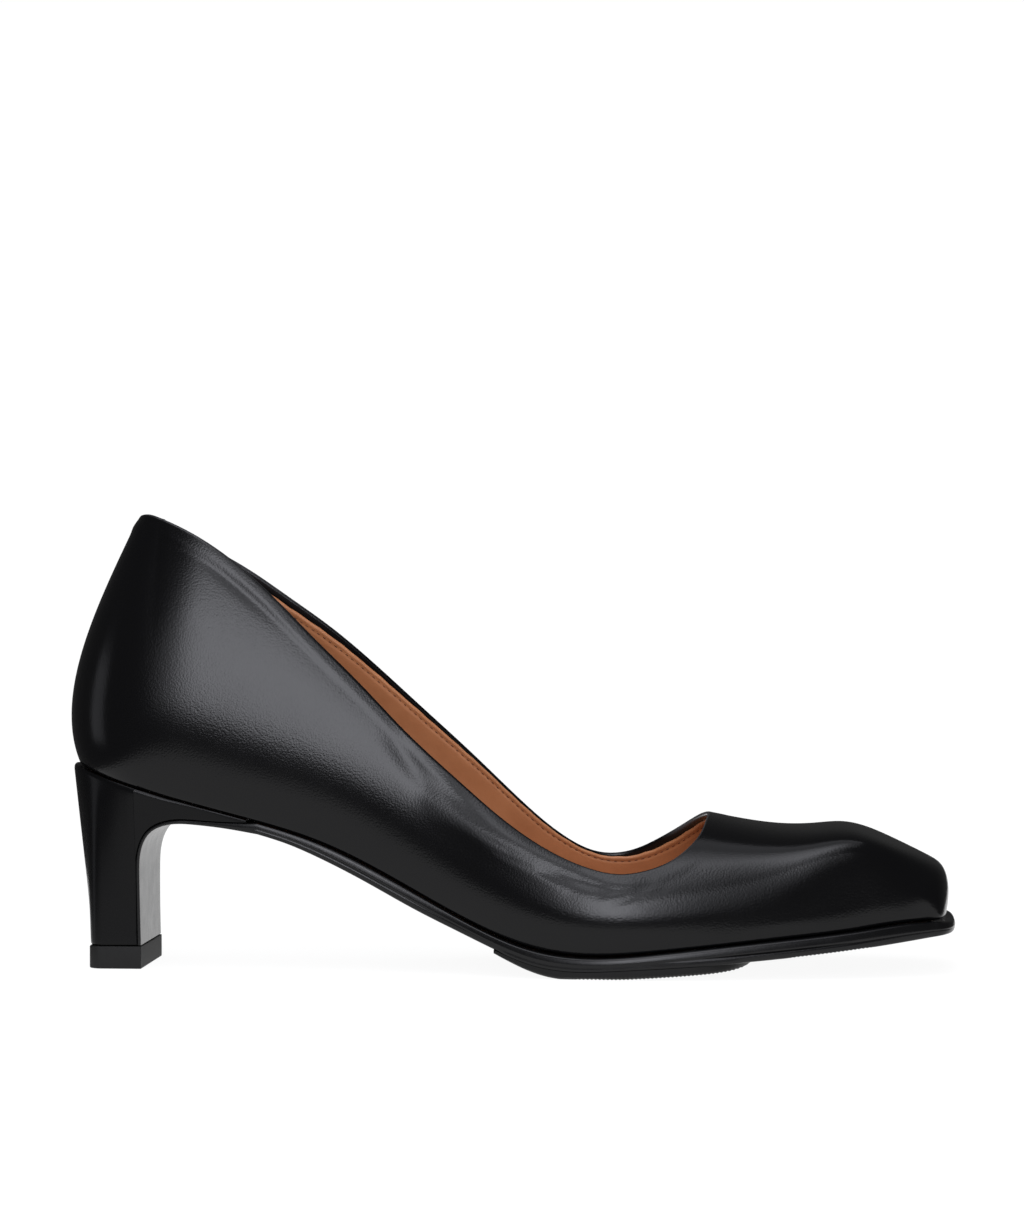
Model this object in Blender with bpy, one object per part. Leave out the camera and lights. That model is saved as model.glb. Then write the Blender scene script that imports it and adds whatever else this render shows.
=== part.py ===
"""Pump for the right foot with a slim block heel and a soft square toe.

Sizes are millimetres in the shoe's own axes: x from the back of the heel to the toe, y to the
inner side of the foot, z up from the floor. The meshes are scaled to metres as they are made.
"""

import math

import bmesh
import bpy
import numpy as np

for thing in list(bpy.data.objects):
    bpy.data.objects.remove(thing, do_unlink=True)
shoe = bpy.data.objects.new("shoe", None)
bpy.context.scene.collection.objects.link(shoe)

MM = 0.001

# Leather and clearances
UPPER_WALL = 1.6
JOINT_GAP = 0.3

# Heel of the last: its back is a fan of ribs about one upright axis
HEEL_AXIS_X = 28.0
BACK_RADIUS = 25.0
BACK_WALL_OUT = 15.0
BACK_WALL_UP = 34.0
BACK_SHOULDER_OUT = -12.0
BACK_SHOULDER_DOWN = 20.5

# Throat of the opening
THROAT_X = 180.2
SPLIT_X = 132.0

# Mesh counts of the upper, for one side of the foot
FAN_RIBS = 8
SIDE_RIBS = 13
VAMP_RIBS = 26
WALL_ROWS = 15
ROW_CROWDING = 1.4

# Insole
INSOLE_THICKNESS = 2.4
INSOLE_CLEARANCE = 0.7

# Sole, tread pad and heel
SOLE_SAMPLES = 44
FLAP_THICKNESS = 0.9
PAD_BACK_X = 122.5
PAD_FRONT_X = 200.0
PAD_INSET = 2.4
PAD_STATIONS = 27
LIFT_HEIGHT = 6.3
LIFT_PROUD = 0.3
HEEL_BACK_X = 8.0
HEEL_BREAST_X = 21.4
HEEL_HALF_WIDTH = 17.5
HEEL_CORNER = 2.2
SEAT_LIP = 0.6
SEAT_LIP_BACK = 1.8


def table(names, *rows):
    """Named columns from a short list of rows."""
    columns = np.array(rows, dtype=float).T
    return dict(zip(names.split(), columns))


def spline(knots, values, start_flat=False):
    """Cubic curve through the rows of a table, free at its ends or flat at its start."""
    knots = np.asarray(knots, dtype=float)
    values = np.asarray(values, dtype=float)
    count = len(knots)
    step = np.diff(knots)
    rise = np.diff(values) / step
    system = np.zeros((count, count))
    target = np.zeros(count)
    system[0, 0] = 1.0
    system[-1, -1] = 1.0
    if start_flat:
        system[0, 0] = 2.0 * step[0]
        system[0, 1] = step[0]
        target[0] = 6.0 * rise[0]
    for row in range(1, count - 1):
        system[row, row - 1] = step[row - 1]
        system[row, row] = 2.0 * (step[row - 1] + step[row])
        system[row, row + 1] = step[row]
        target[row] = 6.0 * (rise[row] - rise[row - 1])
    bend = np.linalg.solve(system, target)

    def at(place):
        cell = int(np.clip(np.searchsorted(knots, place) - 1, 0, count - 2))
        width = step[cell]
        left = (knots[cell + 1] - place) / width
        right = 1.0 - left
        curve = (left ** 3 - left) * bend[cell] + (right ** 3 - right) * bend[cell + 1]
        return left * values[cell] + right * values[cell + 1] + curve * width * width / 6.0

    return at


# Bottom edge of the last in side view: seat, waist, ball and toe spring
BOTTOM = table(
    "x z",
    (0.0, 57.3),
    (28.0, 48.8),
    (52.0, 42.5),
    (74.0, 35.7),
    (96.0, 25.0),
    (118.0, 13.6),
    (132.0, 8.4),
    (147.0, 6.3),
    (168.0, 7.5),
    (200.0, 10.9),
    (222.0, 13.3),
    (238.0, 15.1),
    (247.0, 15.1),
)
last_bottom = spline(BOTTOM["x"], BOTTOM["z"])

# Sections of the last. Each section is a rib on either side from the foot at the bottom edge to the
# crown, drawn by two handles: one up the wall from the foot, one out to the shoulder from the crown.
# Run is the length along the last; the last rows turn down over the front of the toe.
SECTIONS = table(
    "run foot_x lateral medial crown_x crown_y crown_z",
    (28.0, 28.0, 21.5, 21.5, 28.0, 0.0, 165.0),
    (52.0, 52.0, 22.3, 20.8, 52.0, 0.2, 149.0),
    (84.0, 84.0, 23.5, 18.8, 84.0, 1.0, 117.0),
    (110.0, 110.0, 27.5, 22.8, 110.0, 2.0, 88.0),
    (132.0, 132.0, 33.0, 30.2, 132.0, 3.0, 65.0),
    (152.0, 152.0, 36.0, 36.2, 152.0, 3.5, 52.0),
    (168.0, 168.0, 35.8, 38.0, 168.0, 3.7, 46.2),
    (186.0, 186.0, 34.0, 37.4, 186.0, 3.8, 42.0),
    (203.0, 203.0, 31.3, 35.0, 203.0, 3.6, 39.8),
    (217.0, 217.0, 28.4, 32.0, 217.6, 3.2, 40.4),
    (229.0, 227.5, 25.4, 29.0, 230.0, 3.0, 36.6),
    (239.5, 235.5, 22.3, 25.9, 242.6, 2.8, 30.9),
    (244.5, 238.4, 20.9, 24.5, 246.2, 2.7, 27.9),
    (249.0, 240.4, 19.8, 23.4, 247.4, 2.6, 22.8),
    (255.0, 242.0, 18.7, 22.3, 246.6, 2.6, 15.6),
)
HANDLES = table(
    "wall_out wall_up wall_forward shoulder_out shoulder_down crest",
    (7.0, 24.0, 0.0, 18.0, 42.0, 1.0),
    (5.0, 22.0, 0.0, 22.0, 29.0, 1.0),
    (3.6, 22.0, 0.0, 27.0, 15.0, 1.0),
    (2.8, 20.0, 0.0, 31.0, 9.0, 1.0),
    (1.8, 17.0, 0.0, 31.0, 4.0, 1.0),
    (1.2, 16.0, 0.0, 28.0, 1.5, 1.0),
    (1.0, 16.0, 0.0, 26.0, 0.5, 1.05),
    (0.8, 18.0, 0.0, 24.5, 0.0, 1.15),
    (0.6, 20.0, 0.0, 24.0, 0.0, 1.4),
    (0.5, 21.0, 0.0, 21.5, 0.0, 2.0),
    (0.4, 18.0, 0.6, 19.5, 0.0, 2.6),
    (0.4, 13.0, 2.0, 17.5, 0.0, 3.0),
    (0.4, 10.0, 2.8, 16.8, 0.0, 3.0),
    (0.4, 5.5, 3.2, 16.2, 0.0, 2.6),
    (0.3, 0.0, 3.0, 15.0, 0.0, 2.2),
)
RUN_START = SECTIONS["run"][0]
RUN_END = SECTIONS["run"][-1]
section = {}
for title, column in list(SECTIONS.items()) + list(HANDLES.items()):
    if title != "run":
        section[title] = spline(SECTIONS["run"], column, title in ("lateral", "medial", "wall_out"))

# Topline of the opening in side view, outer and inner side of the foot
TOPLINE = table(
    "x lateral medial",
    (14.0, 124.6, 124.6),
    (19.0, 126.3, 126.3),
    (22.8, 126.7, 126.7),
    (27.0, 125.0, 124.8),
    (34.0, 120.9, 120.1),
    (48.0, 113.0, 111.4),
    (60.0, 104.0, 102.6),
    (72.0, 92.8, 93.7),
    (84.0, 81.0, 84.2),
    (98.0, 66.8, 71.8),
    (112.0, 54.4, 58.6),
    (126.0, 42.6, 44.8),
    (138.0, 34.8, 34.6),
    (148.0, 30.7, 29.8),
    (157.0, 29.1, 30.4),
    (165.0, 30.0, 33.8),
    (171.0, 32.4, 37.5),
    (175.8, 36.0, 40.8),
    (178.6, 39.3, 42.5),
    (THROAT_X, 43.3, 43.3),
)
SIDES = {"lateral": -1.0, "medial": 1.0}


def run_along(points):
    """Length from the first point of a line to each of its points."""
    steps = np.linalg.norm(np.diff(np.asarray(points), axis=0), axis=1)
    return np.concatenate(([0.0], np.cumsum(steps)))


def topline_curve(side):
    """Dense side-view line of the topline, drawn through its rows by their spacing."""
    length = run_along(np.stack([TOPLINE["x"], TOPLINE[side]], axis=1))
    across = spline(length, TOPLINE["x"])
    height = spline(length, TOPLINE[side])
    places = np.linspace(0.0, length[-1], 400)
    return np.array([(across(place), height(place)) for place in places])


toplines = {side: topline_curve(side) for side in SIDES}


def topline_height(side, x):
    """Height of the topline over a place along the foot."""
    curve = toplines[side]
    return float(np.interp(x, curve[:, 0], curve[:, 1]))


def fan_controls(side, turn):
    """Foot, wall handle, shoulder handle and crown of a rib at the back of the heel."""
    sign = SIDES[side]
    back = math.cos(turn)
    flank = math.sin(turn)
    half = section[side](RUN_START)
    wall_half = half + section["wall_out"](RUN_START)
    shoulder_half = section["shoulder_out"](RUN_START)
    wall_up = BACK_WALL_UP * back ** 2 + section["wall_up"](RUN_START) * flank ** 2
    drop = BACK_SHOULDER_DOWN * back ** 2 + section["shoulder_down"](RUN_START) * flank ** 2
    crown_z = section["crown_z"](RUN_START)
    foot_x = HEEL_AXIS_X - BACK_RADIUS * back
    foot_z = last_bottom(foot_x)
    wall_x = HEEL_AXIS_X - (BACK_RADIUS + BACK_WALL_OUT) * back
    shoulder_x = HEEL_AXIS_X - BACK_SHOULDER_OUT * back
    return np.array([
        (foot_x, sign * half * flank, foot_z),
        (wall_x, sign * wall_half * flank, foot_z + wall_up),
        (shoulder_x, sign * shoulder_half * flank, crown_z - drop),
        (HEEL_AXIS_X, 0.0, crown_z),
    ]), 1.0


def rib_controls(side, run):
    """Foot, wall handle, shoulder handle and crown of a rib at a run along the last."""
    sign = SIDES[side]
    foot_x = section["foot_x"](run)
    crown_x = section["crown_x"](run)
    crown_y = section["crown_y"](run)
    crown_z = section["crown_z"](run)
    half = section[side](run)
    middle = 0.5 * (section["lateral"](run) + section["medial"](run))
    wall_half = 0.5 * (half + max(middle, half)) + section["wall_out"](run)
    foot_z = last_bottom(foot_x)
    wall_x = foot_x + section["wall_forward"](run)
    return np.array([
        (foot_x, sign * half, foot_z),
        (wall_x, sign * wall_half, foot_z + section["wall_up"](run)),
        (crown_x, crown_y + sign * section["shoulder_out"](run), crown_z - section["shoulder_down"](run)),
        (crown_x, crown_y, crown_z),
    ]), section["crest"](run)


def along_rib(controls, crest, share):
    """Point on a rib, share 0 at the foot and 1 at the crown; crest pulls it into the corner."""
    rest = 1.0 - share
    wall = 3.0 * crest * rest * rest * share
    shoulder = 3.0 * crest * rest * share * share
    pull = np.array([rest ** 3, wall, shoulder, share ** 3])
    return pull @ controls / pull.sum()


def share_at_height(controls, crest, height_at):
    """Share of a rib where it reaches a height given over x."""
    low = 0.0
    high = 1.0
    for _ in range(40):
        middle = 0.5 * (low + high)
        x, _, z = along_rib(controls, crest, middle)
        if z < height_at(x):
            low = middle
        else:
            high = middle
    return 0.5 * (low + high)


def spread(points, count):
    """Places of evenly spaced points along a line, as shares of its index."""
    length = run_along(points)
    wanted = np.linspace(0.0, length[-1], count)
    return np.interp(wanted, length, np.linspace(0.0, 1.0, len(points)))


def front_share(place):
    """Run and share on the bottom edge: along the side, then across the front of the toe."""
    side_part = 0.86
    if place <= side_part:
        return SPLIT_X + (RUN_END - SPLIT_X) * place / side_part, 0.0
    return RUN_END, (place - side_part) / (1.0 - side_part)


def surface(side, run, share):
    controls, crest = rib_controls(side, run)
    return along_rib(controls, crest, share)


def throat_share(side, place):
    """Run and share of the topline between the split and the throat."""
    curve = toplines[side]
    start = float(np.interp(SPLIT_X, curve[:, 0], np.linspace(0.0, 1.0, len(curve))))
    index = start + (1.0 - start) * place
    x = float(np.interp(index, np.linspace(0.0, 1.0, len(curve)), curve[:, 0]))
    z = float(np.interp(index, np.linspace(0.0, 1.0, len(curve)), curve[:, 1]))
    if place >= 1.0:
        return THROAT_X, 1.0
    controls, crest = rib_controls(side, x)
    return x, share_at_height(controls, crest, lambda _: z)


def upper_ribs(side):
    """Rows of points from the bottom edge to the topline, from the centre back to the centre front."""
    rows = (np.linspace(0.0, 1.0, WALL_ROWS)) ** ROW_CROWDING
    ribs = []
    for step in range(FAN_RIBS):
        controls, crest = fan_controls(side, 0.5 * math.pi * step / FAN_RIBS)
        top = share_at_height(controls, crest, lambda x: topline_height(side, x))
        ribs.append([along_rib(controls, crest, top * row) for row in rows])
    for run in np.linspace(RUN_START, SPLIT_X, SIDE_RIBS, endpoint=False):
        controls, crest = rib_controls(side, run)
        top = share_at_height(controls, crest, lambda x: topline_height(side, x))
        ribs.append([along_rib(controls, crest, top * row) for row in rows])
    fine = np.linspace(0.0, 1.0, 160)
    feet = spread([surface(side, *front_share(place)) for place in fine], VAMP_RIBS)
    tops = spread([surface(side, *throat_share(side, place)) for place in fine], VAMP_RIBS)
    for foot, top in zip(feet, tops):
        foot_run, foot_share = front_share(foot)
        top_run, top_share = throat_share(side, top)
        rib = []
        for row in rows:
            run = foot_run + (top_run - foot_run) * row
            share = foot_share + (top_share - foot_share) * row
            rib.append(surface(side, run, share))
        ribs.append(rib)
    return ribs


def outline(side, offset, start_x):
    """Bottom edge of the last from a place along the foot to the centre front, set out by an offset."""
    points = []
    if start_x < HEEL_AXIS_X:
        for step in range(FAN_RIBS * 2):
            turn = 0.5 * math.pi * step / (FAN_RIBS * 2)
            points.append(fan_controls(side, turn)[0][0][:2])
        start_x = HEEL_AXIS_X
    for run in np.linspace(start_x, RUN_END, 90):
        points.append(surface(side, run, 0.0)[:2])
    for share in np.linspace(0.0, 1.0, 15)[1:]:
        points.append(surface(side, RUN_END, share)[:2])
    points = np.array(points)
    ahead = np.gradient(points, axis=0)
    ahead /= np.linalg.norm(ahead, axis=1)[:, None]
    outward = np.stack([-ahead[:, 1], ahead[:, 0]], axis=1) * SIDES[side]
    reach = np.array([offset(point[0]) for point in points])
    moved = points + outward * reach[:, None]
    moved[-1] = points[-1] + np.array([reach[-1], 0.0])
    return moved


# Making solids
solids = {}


def material(name, colour, roughness):
    paint = bpy.data.materials.new(name)
    paint.use_nodes = True
    shader = paint.node_tree.nodes["Principled BSDF"]
    shader.inputs["Base Color"].default_value = (*colour, 1.0)
    shader.inputs["Roughness"].default_value = roughness
    return paint


class Solid:
    """A mesh gathered from points that are shared by the faces that meet there."""

    def __init__(self, name):
        self.name = name
        self.mesh = bmesh.new()

    def row(self, points):
        return [self.mesh.verts.new([value * MM for value in point]) for point in points]

    def face(self, *corners):
        kept = []
        for corner in corners:
            if corner not in kept:
                kept.append(corner)
        if len(kept) > 2:
            self.mesh.faces.new(kept)

    def strip(self, one, other):
        """Faces between two rows of equal length."""
        for step in range(len(one) - 1):
            self.face(one[step], one[step + 1], other[step + 1], other[step])

    def finish(self, paint, smooth_angle=40.0):
        bmesh.ops.recalc_face_normals(self.mesh, faces=self.mesh.faces)
        sheet = bpy.data.meshes.new(self.name)
        self.mesh.to_mesh(sheet)
        self.mesh.free()
        sheet.materials.append(paint)
        sheet.shade_smooth()
        sheet.set_sharp_from_angle(angle=math.radians(smooth_angle))
        piece = bpy.data.objects.new(self.name, sheet)
        bpy.context.scene.collection.objects.link(piece)
        piece.parent = shoe
        solids[self.name] = piece
        return piece


def build_upper():
    solid = Solid("upper")
    lateral = [solid.row(rib) for rib in upper_ribs("lateral")]
    medial_ribs = upper_ribs("medial")
    medial = [lateral[0]] + [solid.row(rib) for rib in medial_ribs[1:-1]] + [lateral[-1]]
    for ribs in (lateral, medial):
        for step in range(len(ribs) - 1):
            solid.strip(ribs[step], ribs[step + 1])
    piece = solid.finish(material("black_calf_leather", (0.012, 0.012, 0.013), 0.4), 50.0)
    wall = piece.modifiers.new("wall", "SOLIDIFY")
    wall.thickness = UPPER_WALL * MM
    wall.offset = -1.0
    wall.use_even_offset = True
    wall.use_rim = True
    return piece


def slab(name, lower, upper, paint, smooth_angle=40.0):
    """Solid between rings. Each ring is a lateral and a medial row from back to front."""
    solid = Solid(name)
    rings = []
    for lateral, medial in (lower, *upper):
        left = solid.row(lateral)
        right = [left[0]] + solid.row(medial[1:-1]) + [left[-1]]
        rings.append((left, right))
    for below, above in zip(rings, rings[1:]):
        solid.strip(below[0], above[0])
        solid.strip(below[1], above[1])
    for left, right in (rings[0], rings[-1]):
        solid.strip(left, right)
    return solid.finish(paint, smooth_angle)


def thin(points, count):
    """The same line with evenly spaced points."""
    places = spread(points, count) * (len(points) - 1)
    index = np.arange(len(points))
    return np.stack([np.interp(places, index, points[:, axis]) for axis in range(points.shape[1])], axis=1)


def build_insole():
    rings = []
    edge = UPPER_WALL + INSOLE_CLEARANCE
    top = INSOLE_THICKNESS
    for inset, rise in ((edge + 0.3, 0.0), (edge, 0.5), (edge, top - 0.6), (edge + 0.8, top)):
        ring = []
        for side in SIDES:
            flat = thin(outline(side, lambda x: -inset, 0.0), 44)
            ring.append([(x, y, last_bottom(x) + rise) for x, y in flat])
        rings.append(ring)
    paint = material("tan_sock_leather", (0.45, 0.26, 0.13), 0.55)
    return slab("insole", rings[0], rings[1:], paint)


# Sole in side view: its lower face from the foot of the heel flap to the toe, and its thickness
# measured from there towards the heel and the upper
FLAP_X = HEEL_BREAST_X + JOINT_GAP + FLAP_THICKNESS
SOLE = table(
    "x z back rise half",
    (FLAP_X, LIFT_HEIGHT + JOINT_GAP, FLAP_THICKNESS, 0.0, HEEL_HALF_WIDTH),
    (FLAP_X - 0.2, 16.0, FLAP_THICKNESS, 0.0, HEEL_HALF_WIDTH),
    (FLAP_X - 0.3, 26.0, FLAP_THICKNESS, 0.0, HEEL_HALF_WIDTH),
    (23.0, 33.6, 0.85, 0.3, 17.6),
    (25.4, 38.0, 0.6, 0.7, 18.0),
    (30.0, 40.3, 0.2, 0.9, 19.4),
    (38.5, 40.5, 0.0, 1.1, 21.2),
    (47.0, 39.6, 0.0, 1.6, 22.2),
    (56.0, 38.1, 0.0, 3.0, 22.6),
)
# From there forward the sole follows the last: lower face and how far its edge stands out
SOLE_FORE = table(
    "x z stand_out",
    (56.0, 38.1, 0.3),
    (64.0, 35.6, 0.4),
    (73.0, 31.8, 0.6),
    (86.0, 25.3, 0.7),
    (99.5, 18.1, 0.8),
    (113.0, 11.8, 1.1),
    (123.0, 7.4, 1.7),
    (133.0, 3.8, 2.2),
    (146.0, 2.2, 2.3),
    (157.0, 2.6, 2.3),
    (179.0, 3.9, 2.3),
    (200.0, 5.6, 2.4),
    (222.0, 8.0, 2.5),
    (242.0, 10.7, 2.6),
    (249.5, 11.7, 2.6),
)
sole_lower = spline(SOLE_FORE["x"], SOLE_FORE["z"])
sole_reach = spline(SOLE_FORE["x"], SOLE_FORE["stand_out"])
SOLE_SPLIT = SOLE_FORE["x"][0]

# Side of the sole: how far in from its edge, and how far up its thickness
SOLE_EDGE = table(
    "inset up",
    (2.6, 0.0),
    (0.5, 0.10),
    (0.0, 0.26),
    (0.1, 0.50),
    (0.7, 0.56),
    (0.7, 0.61),
    (0.0, 0.67),
    (0.0, 0.75),
    (0.5, 0.90),
    (1.8, 1.0),
)


def flap_half(side, place):
    """Half width of the heel flap: level down the breast, then following the last at the waist."""
    if place["x"] < HEEL_AXIS_X:
        return place["half"]
    return min(place["half"], section[side](place["x"]) + sole_reach(SOLE_SPLIT))


def flap_line():
    """Lower and upper centre lines of the sole from the foot of the heel flap to the waist."""
    length = run_along(np.stack([SOLE["x"], SOLE["z"]], axis=1))
    at = {title: spline(length, SOLE[title]) for title in SOLE}
    places = np.linspace(0.0, length[-1], 22)
    return [{title: at[title](place) for title in SOLE} for place in places]


def sole_ring(side, inset, up):
    """One line of the sole's side, from the centre of the flap's end to the centre of the toe."""
    sign = SIDES[side]
    ring = []
    flap = flap_line()
    for place in flap[:-1]:
        x = place["x"] - place["back"] * up
        z = place["z"] + place["rise"] * up
        ring.append((x, sign * (flap_half(side, place) - inset * 0.4), z))

    def reach(x):
        return sole_reach(x) - inset * min(1.0, 0.4 + (x - SOLE_SPLIT) / 60.0)

    fore = thin(outline(side, reach, SOLE_SPLIT), SOLE_SAMPLES)
    for x, y in fore:
        lower = sole_lower(x)
        upper = last_bottom(x) - JOINT_GAP
        ring.append((x, y, lower + (upper - lower) * up))
    first = ring[0]
    return [(first[0], 0.0, first[2])] + ring


def build_outsole():
    rings = []
    for inset, up in zip(SOLE_EDGE["inset"], SOLE_EDGE["up"]):
        rings.append([sole_ring(side, inset, up) for side in SIDES])
    paint = material("black_sole_leather", (0.02, 0.02, 0.021), 0.3)
    return slab("outsole", rings[0], rings[1:], paint)


# Tread pad in side view: its lower face, flat on the floor under the ball
PAD = table(
    "x z",
    (PAD_BACK_X, 6.4),
    (129.0, 3.3),
    (135.0, 1.1),
    (141.0, 0.0),
    (148.0, 0.0),
    (156.0, 0.0),
    (164.0, 0.3),
    (172.0, 0.8),
    (184.0, 1.8),
    (PAD_FRONT_X, 3.4),
)


def pad_half(side, x, inset):
    """Half width of the pad: it follows the sole's edge and rounds off at the front."""
    middle = 0.5 * (PAD_BACK_X + PAD_FRONT_X)
    reach = (x - middle) / (PAD_FRONT_X - middle)
    rounding = max(0.0, 1.0 - max(0.0, reach) ** 10.0) ** 0.5
    return (section[side](x) + sole_reach(x) - PAD_INSET - inset) * rounding


def build_forefoot_tread():
    lower_face = spline(PAD["x"], PAD["z"])
    shares = np.sin(np.linspace(0.0, 0.5 * math.pi, PAD_STATIONS)) ** 0.8
    stations = PAD_BACK_X + (PAD_FRONT_X - PAD_BACK_X) * shares
    rings = []
    for inset, up in ((4.0, 0.0), (0.7, 0.3), (0.0, 0.5), (0.0, 1.0)):
        ring = []
        for side, sign in SIDES.items():
            row = []
            for x in stations:
                upper = sole_lower(x) - JOINT_GAP
                lower = max(lower_face(x), 0.0)
                row.append((x, sign * pad_half(side, x, inset), lower + (upper - lower) * up))
            row = [(row[0][0], 0.0, row[0][2])] + row
            ring.append(row)
        rings.append(ring)
    paint = material("black_rubber_tread", (0.015, 0.015, 0.015), 0.7)
    return slab("forefoot_tread", rings[0], rings[1:], paint)


def heel_foot_outline():
    """Half of the heel's lower outline, from its centre back to the breast corner."""
    points = [(HEEL_BACK_X, 0.0), (HEEL_BACK_X, 0.5 * HEEL_HALF_WIDTH)]
    centre_x = HEEL_BACK_X + HEEL_CORNER
    centre_y = HEEL_HALF_WIDTH - HEEL_CORNER
    for step in range(7):
        turn = 0.5 * math.pi * step / 6
        points.append((centre_x - HEEL_CORNER * math.cos(turn), centre_y + HEEL_CORNER * math.sin(turn)))
    points.append((HEEL_BREAST_X, HEEL_HALF_WIDTH))
    return np.array(points)


def seat_lip(x):
    """How far the heel's rim stands out beyond the upper's bottom edge."""
    return SEAT_LIP * max(0.0, min(1.0, (62.0 - x) / 40.0)) + SEAT_LIP_BACK * max(0.0, 1.0 - x / 18.0)


def build_heel():
    solid = Solid("heel")
    flap = flap_line()
    stem_columns = 16
    levels = 9
    sides = {}
    for side, sign in SIDES.items():
        lower = [(x, sign * y, LIFT_HEIGHT + JOINT_GAP) for x, y in thin(heel_foot_outline(), stem_columns)]
        seat = outline(side, seat_lip, 0.0)
        stem_seat = thin(seat[seat[:, 0] < HEEL_BREAST_X - 0.3], stem_columns)
        upper = [(x, y) for x, y in stem_seat]
        wedge = flap[1:-1]
        for place in wedge:
            low_x = place["x"] - place["back"] - JOINT_GAP * place["back"] / FLAP_THICKNESS
            x = max(low_x, upper[-1][0] + 0.12)
            low_z = place["z"] + place["rise"] + JOINT_GAP * min(1.0, place["rise"])
            lower.append((low_x, sign * flap_half(side, place), low_z))
            y = float(np.interp(x, seat[FAN_RIBS * 2:60, 0], seat[FAN_RIBS * 2:60, 1]))
            upper.append((x, y))
        columns = []
        for (x0, y0, z0), (x1, y1) in zip(lower, upper):
            z1 = max(last_bottom(x1) - JOINT_GAP, z0 + 0.15)
            column = []
            for level in np.linspace(0.0, 1.0, levels):
                lean = level ** 0.78
                flare = level ** 2.2
                column.append((x0 + (x1 - x0) * lean, y0 + (y1 - y0) * flare, z0 + (z1 - z0) * level))
            columns.append(column)
        sides[side] = columns
    lateral = [solid.row(column) for column in sides["lateral"]]
    medial = [lateral[0]] + [solid.row(column) for column in sides["medial"][1:]]
    for columns in (lateral, medial):
        for step in range(len(columns) - 1):
            solid.strip(columns[step], columns[step + 1])
    for level in (0, levels - 1):
        solid.strip([column[level] for column in lateral], [column[level] for column in medial])
    solid.strip(lateral[-1], medial[-1])
    return solid.finish(material("black_heel_cover", (0.012, 0.012, 0.013), 0.35), 35.0)


def build_top_lift():
    rings = []
    for grow, z in ((-0.4, 0.0), (0.0, 0.4), (0.0, LIFT_HEIGHT - 0.2), (-0.2, LIFT_HEIGHT)):
        ring = []
        for sign in SIDES.values():
            row = []
            for x, y in heel_foot_outline():
                spare = LIFT_PROUD + grow
                across = sign * (y + spare * min(1.0, y / HEEL_HALF_WIDTH))
                along = x - spare
                if x > HEEL_BREAST_X - 1.0:
                    along = FLAP_X + 0.4 * spare
                row.append((along, across, z))
            row.append((row[-1][0], 0.0, z))
            ring.append(row)
        rings.append(ring)
    paint = material("black_rubber_lift", (0.018, 0.018, 0.018), 0.5)
    return slab("top_lift", rings[0], rings[1:], paint)


def centre_on_floor():
    """Stand the shoe over the middle of its own bounds."""
    graph = bpy.context.evaluated_depsgraph_get()
    corners = []
    for piece in solids.values():
        worn = piece.evaluated_get(graph)
        corners += [tuple(vertex.co) for vertex in worn.data.vertices]
    corners = np.array(corners)
    low = corners.min(axis=0)
    high = corners.max(axis=0)
    shoe.location = (-0.5 * (low[0] + high[0]), -0.5 * (low[1] + high[1]), -low[2])


build_upper()
build_insole()
build_outsole()
build_forefoot_tread()
build_heel()
build_top_lift()
bpy.context.view_layer.update()
centre_on_floor()
bpy.context.view_layer.update()
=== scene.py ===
"""Black calf pump for the right foot: leather, lining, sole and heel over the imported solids.

Sizes are millimetres in the shoe's own axes: x from the back of the heel to the toe, y to the
inner side of the foot, z up from the floor.
"""

import math

import bmesh
import bpy
import numpy as np
from mathutils import Matrix, Vector


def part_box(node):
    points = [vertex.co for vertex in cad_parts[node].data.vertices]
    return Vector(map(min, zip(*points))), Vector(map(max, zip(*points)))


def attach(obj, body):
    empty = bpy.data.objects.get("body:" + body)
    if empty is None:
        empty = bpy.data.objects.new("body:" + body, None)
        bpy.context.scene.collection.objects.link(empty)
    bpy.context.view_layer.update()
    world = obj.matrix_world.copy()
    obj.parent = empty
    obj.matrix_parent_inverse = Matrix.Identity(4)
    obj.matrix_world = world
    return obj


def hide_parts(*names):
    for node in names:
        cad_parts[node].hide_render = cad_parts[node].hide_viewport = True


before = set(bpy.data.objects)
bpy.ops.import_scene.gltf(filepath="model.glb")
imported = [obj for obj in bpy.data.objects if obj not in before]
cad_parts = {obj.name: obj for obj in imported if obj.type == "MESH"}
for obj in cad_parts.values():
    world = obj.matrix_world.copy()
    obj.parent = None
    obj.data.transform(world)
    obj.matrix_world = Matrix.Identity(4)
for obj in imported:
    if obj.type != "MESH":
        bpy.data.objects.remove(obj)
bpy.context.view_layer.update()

MM = 0.001

# Leather, lining and clearances
LEATHER = 0.9
EDGE_ROLL = 0.8
FEATHER_ROLL = 1.1
LASTING_MARGIN = 4.5
TURNED_MARGIN = 5.0
MARGIN_START = 1.5
MARGIN_STEP = 1.2
LINING = 0.65
LINING_FOOT = 0.8
LINING_GAP = 0.05
DOUBLED_END = (TURNED_MARGIN - 1.0, TURNED_MARGIN + 9.0)
JOINT_GAP = 0.3

# Last
HEEL_AXIS_X = 28.0
BACK_RADIUS = 25.0
BACK_WALL_OUT = 15.0
BACK_WALL_UP = 34.0
BACK_SHOULDER_OUT = -12.0
BACK_SHOULDER_DOWN = 20.5
THROAT_X = 180.2
COLLAR_LEAN = 0.8
COLLAR_LEAN_HALF_WIDTH = 8.0
COLLAR_LEAN_FROM = 122.5
COLLAR_LEAN_TO = 127.0
EASE_LOW = 6.0
EASE_HIGH = 10.0
EASE_SPAN = 16.0
EASE_AHEAD = 3.0
SPLIT_X = 132.0

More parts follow.
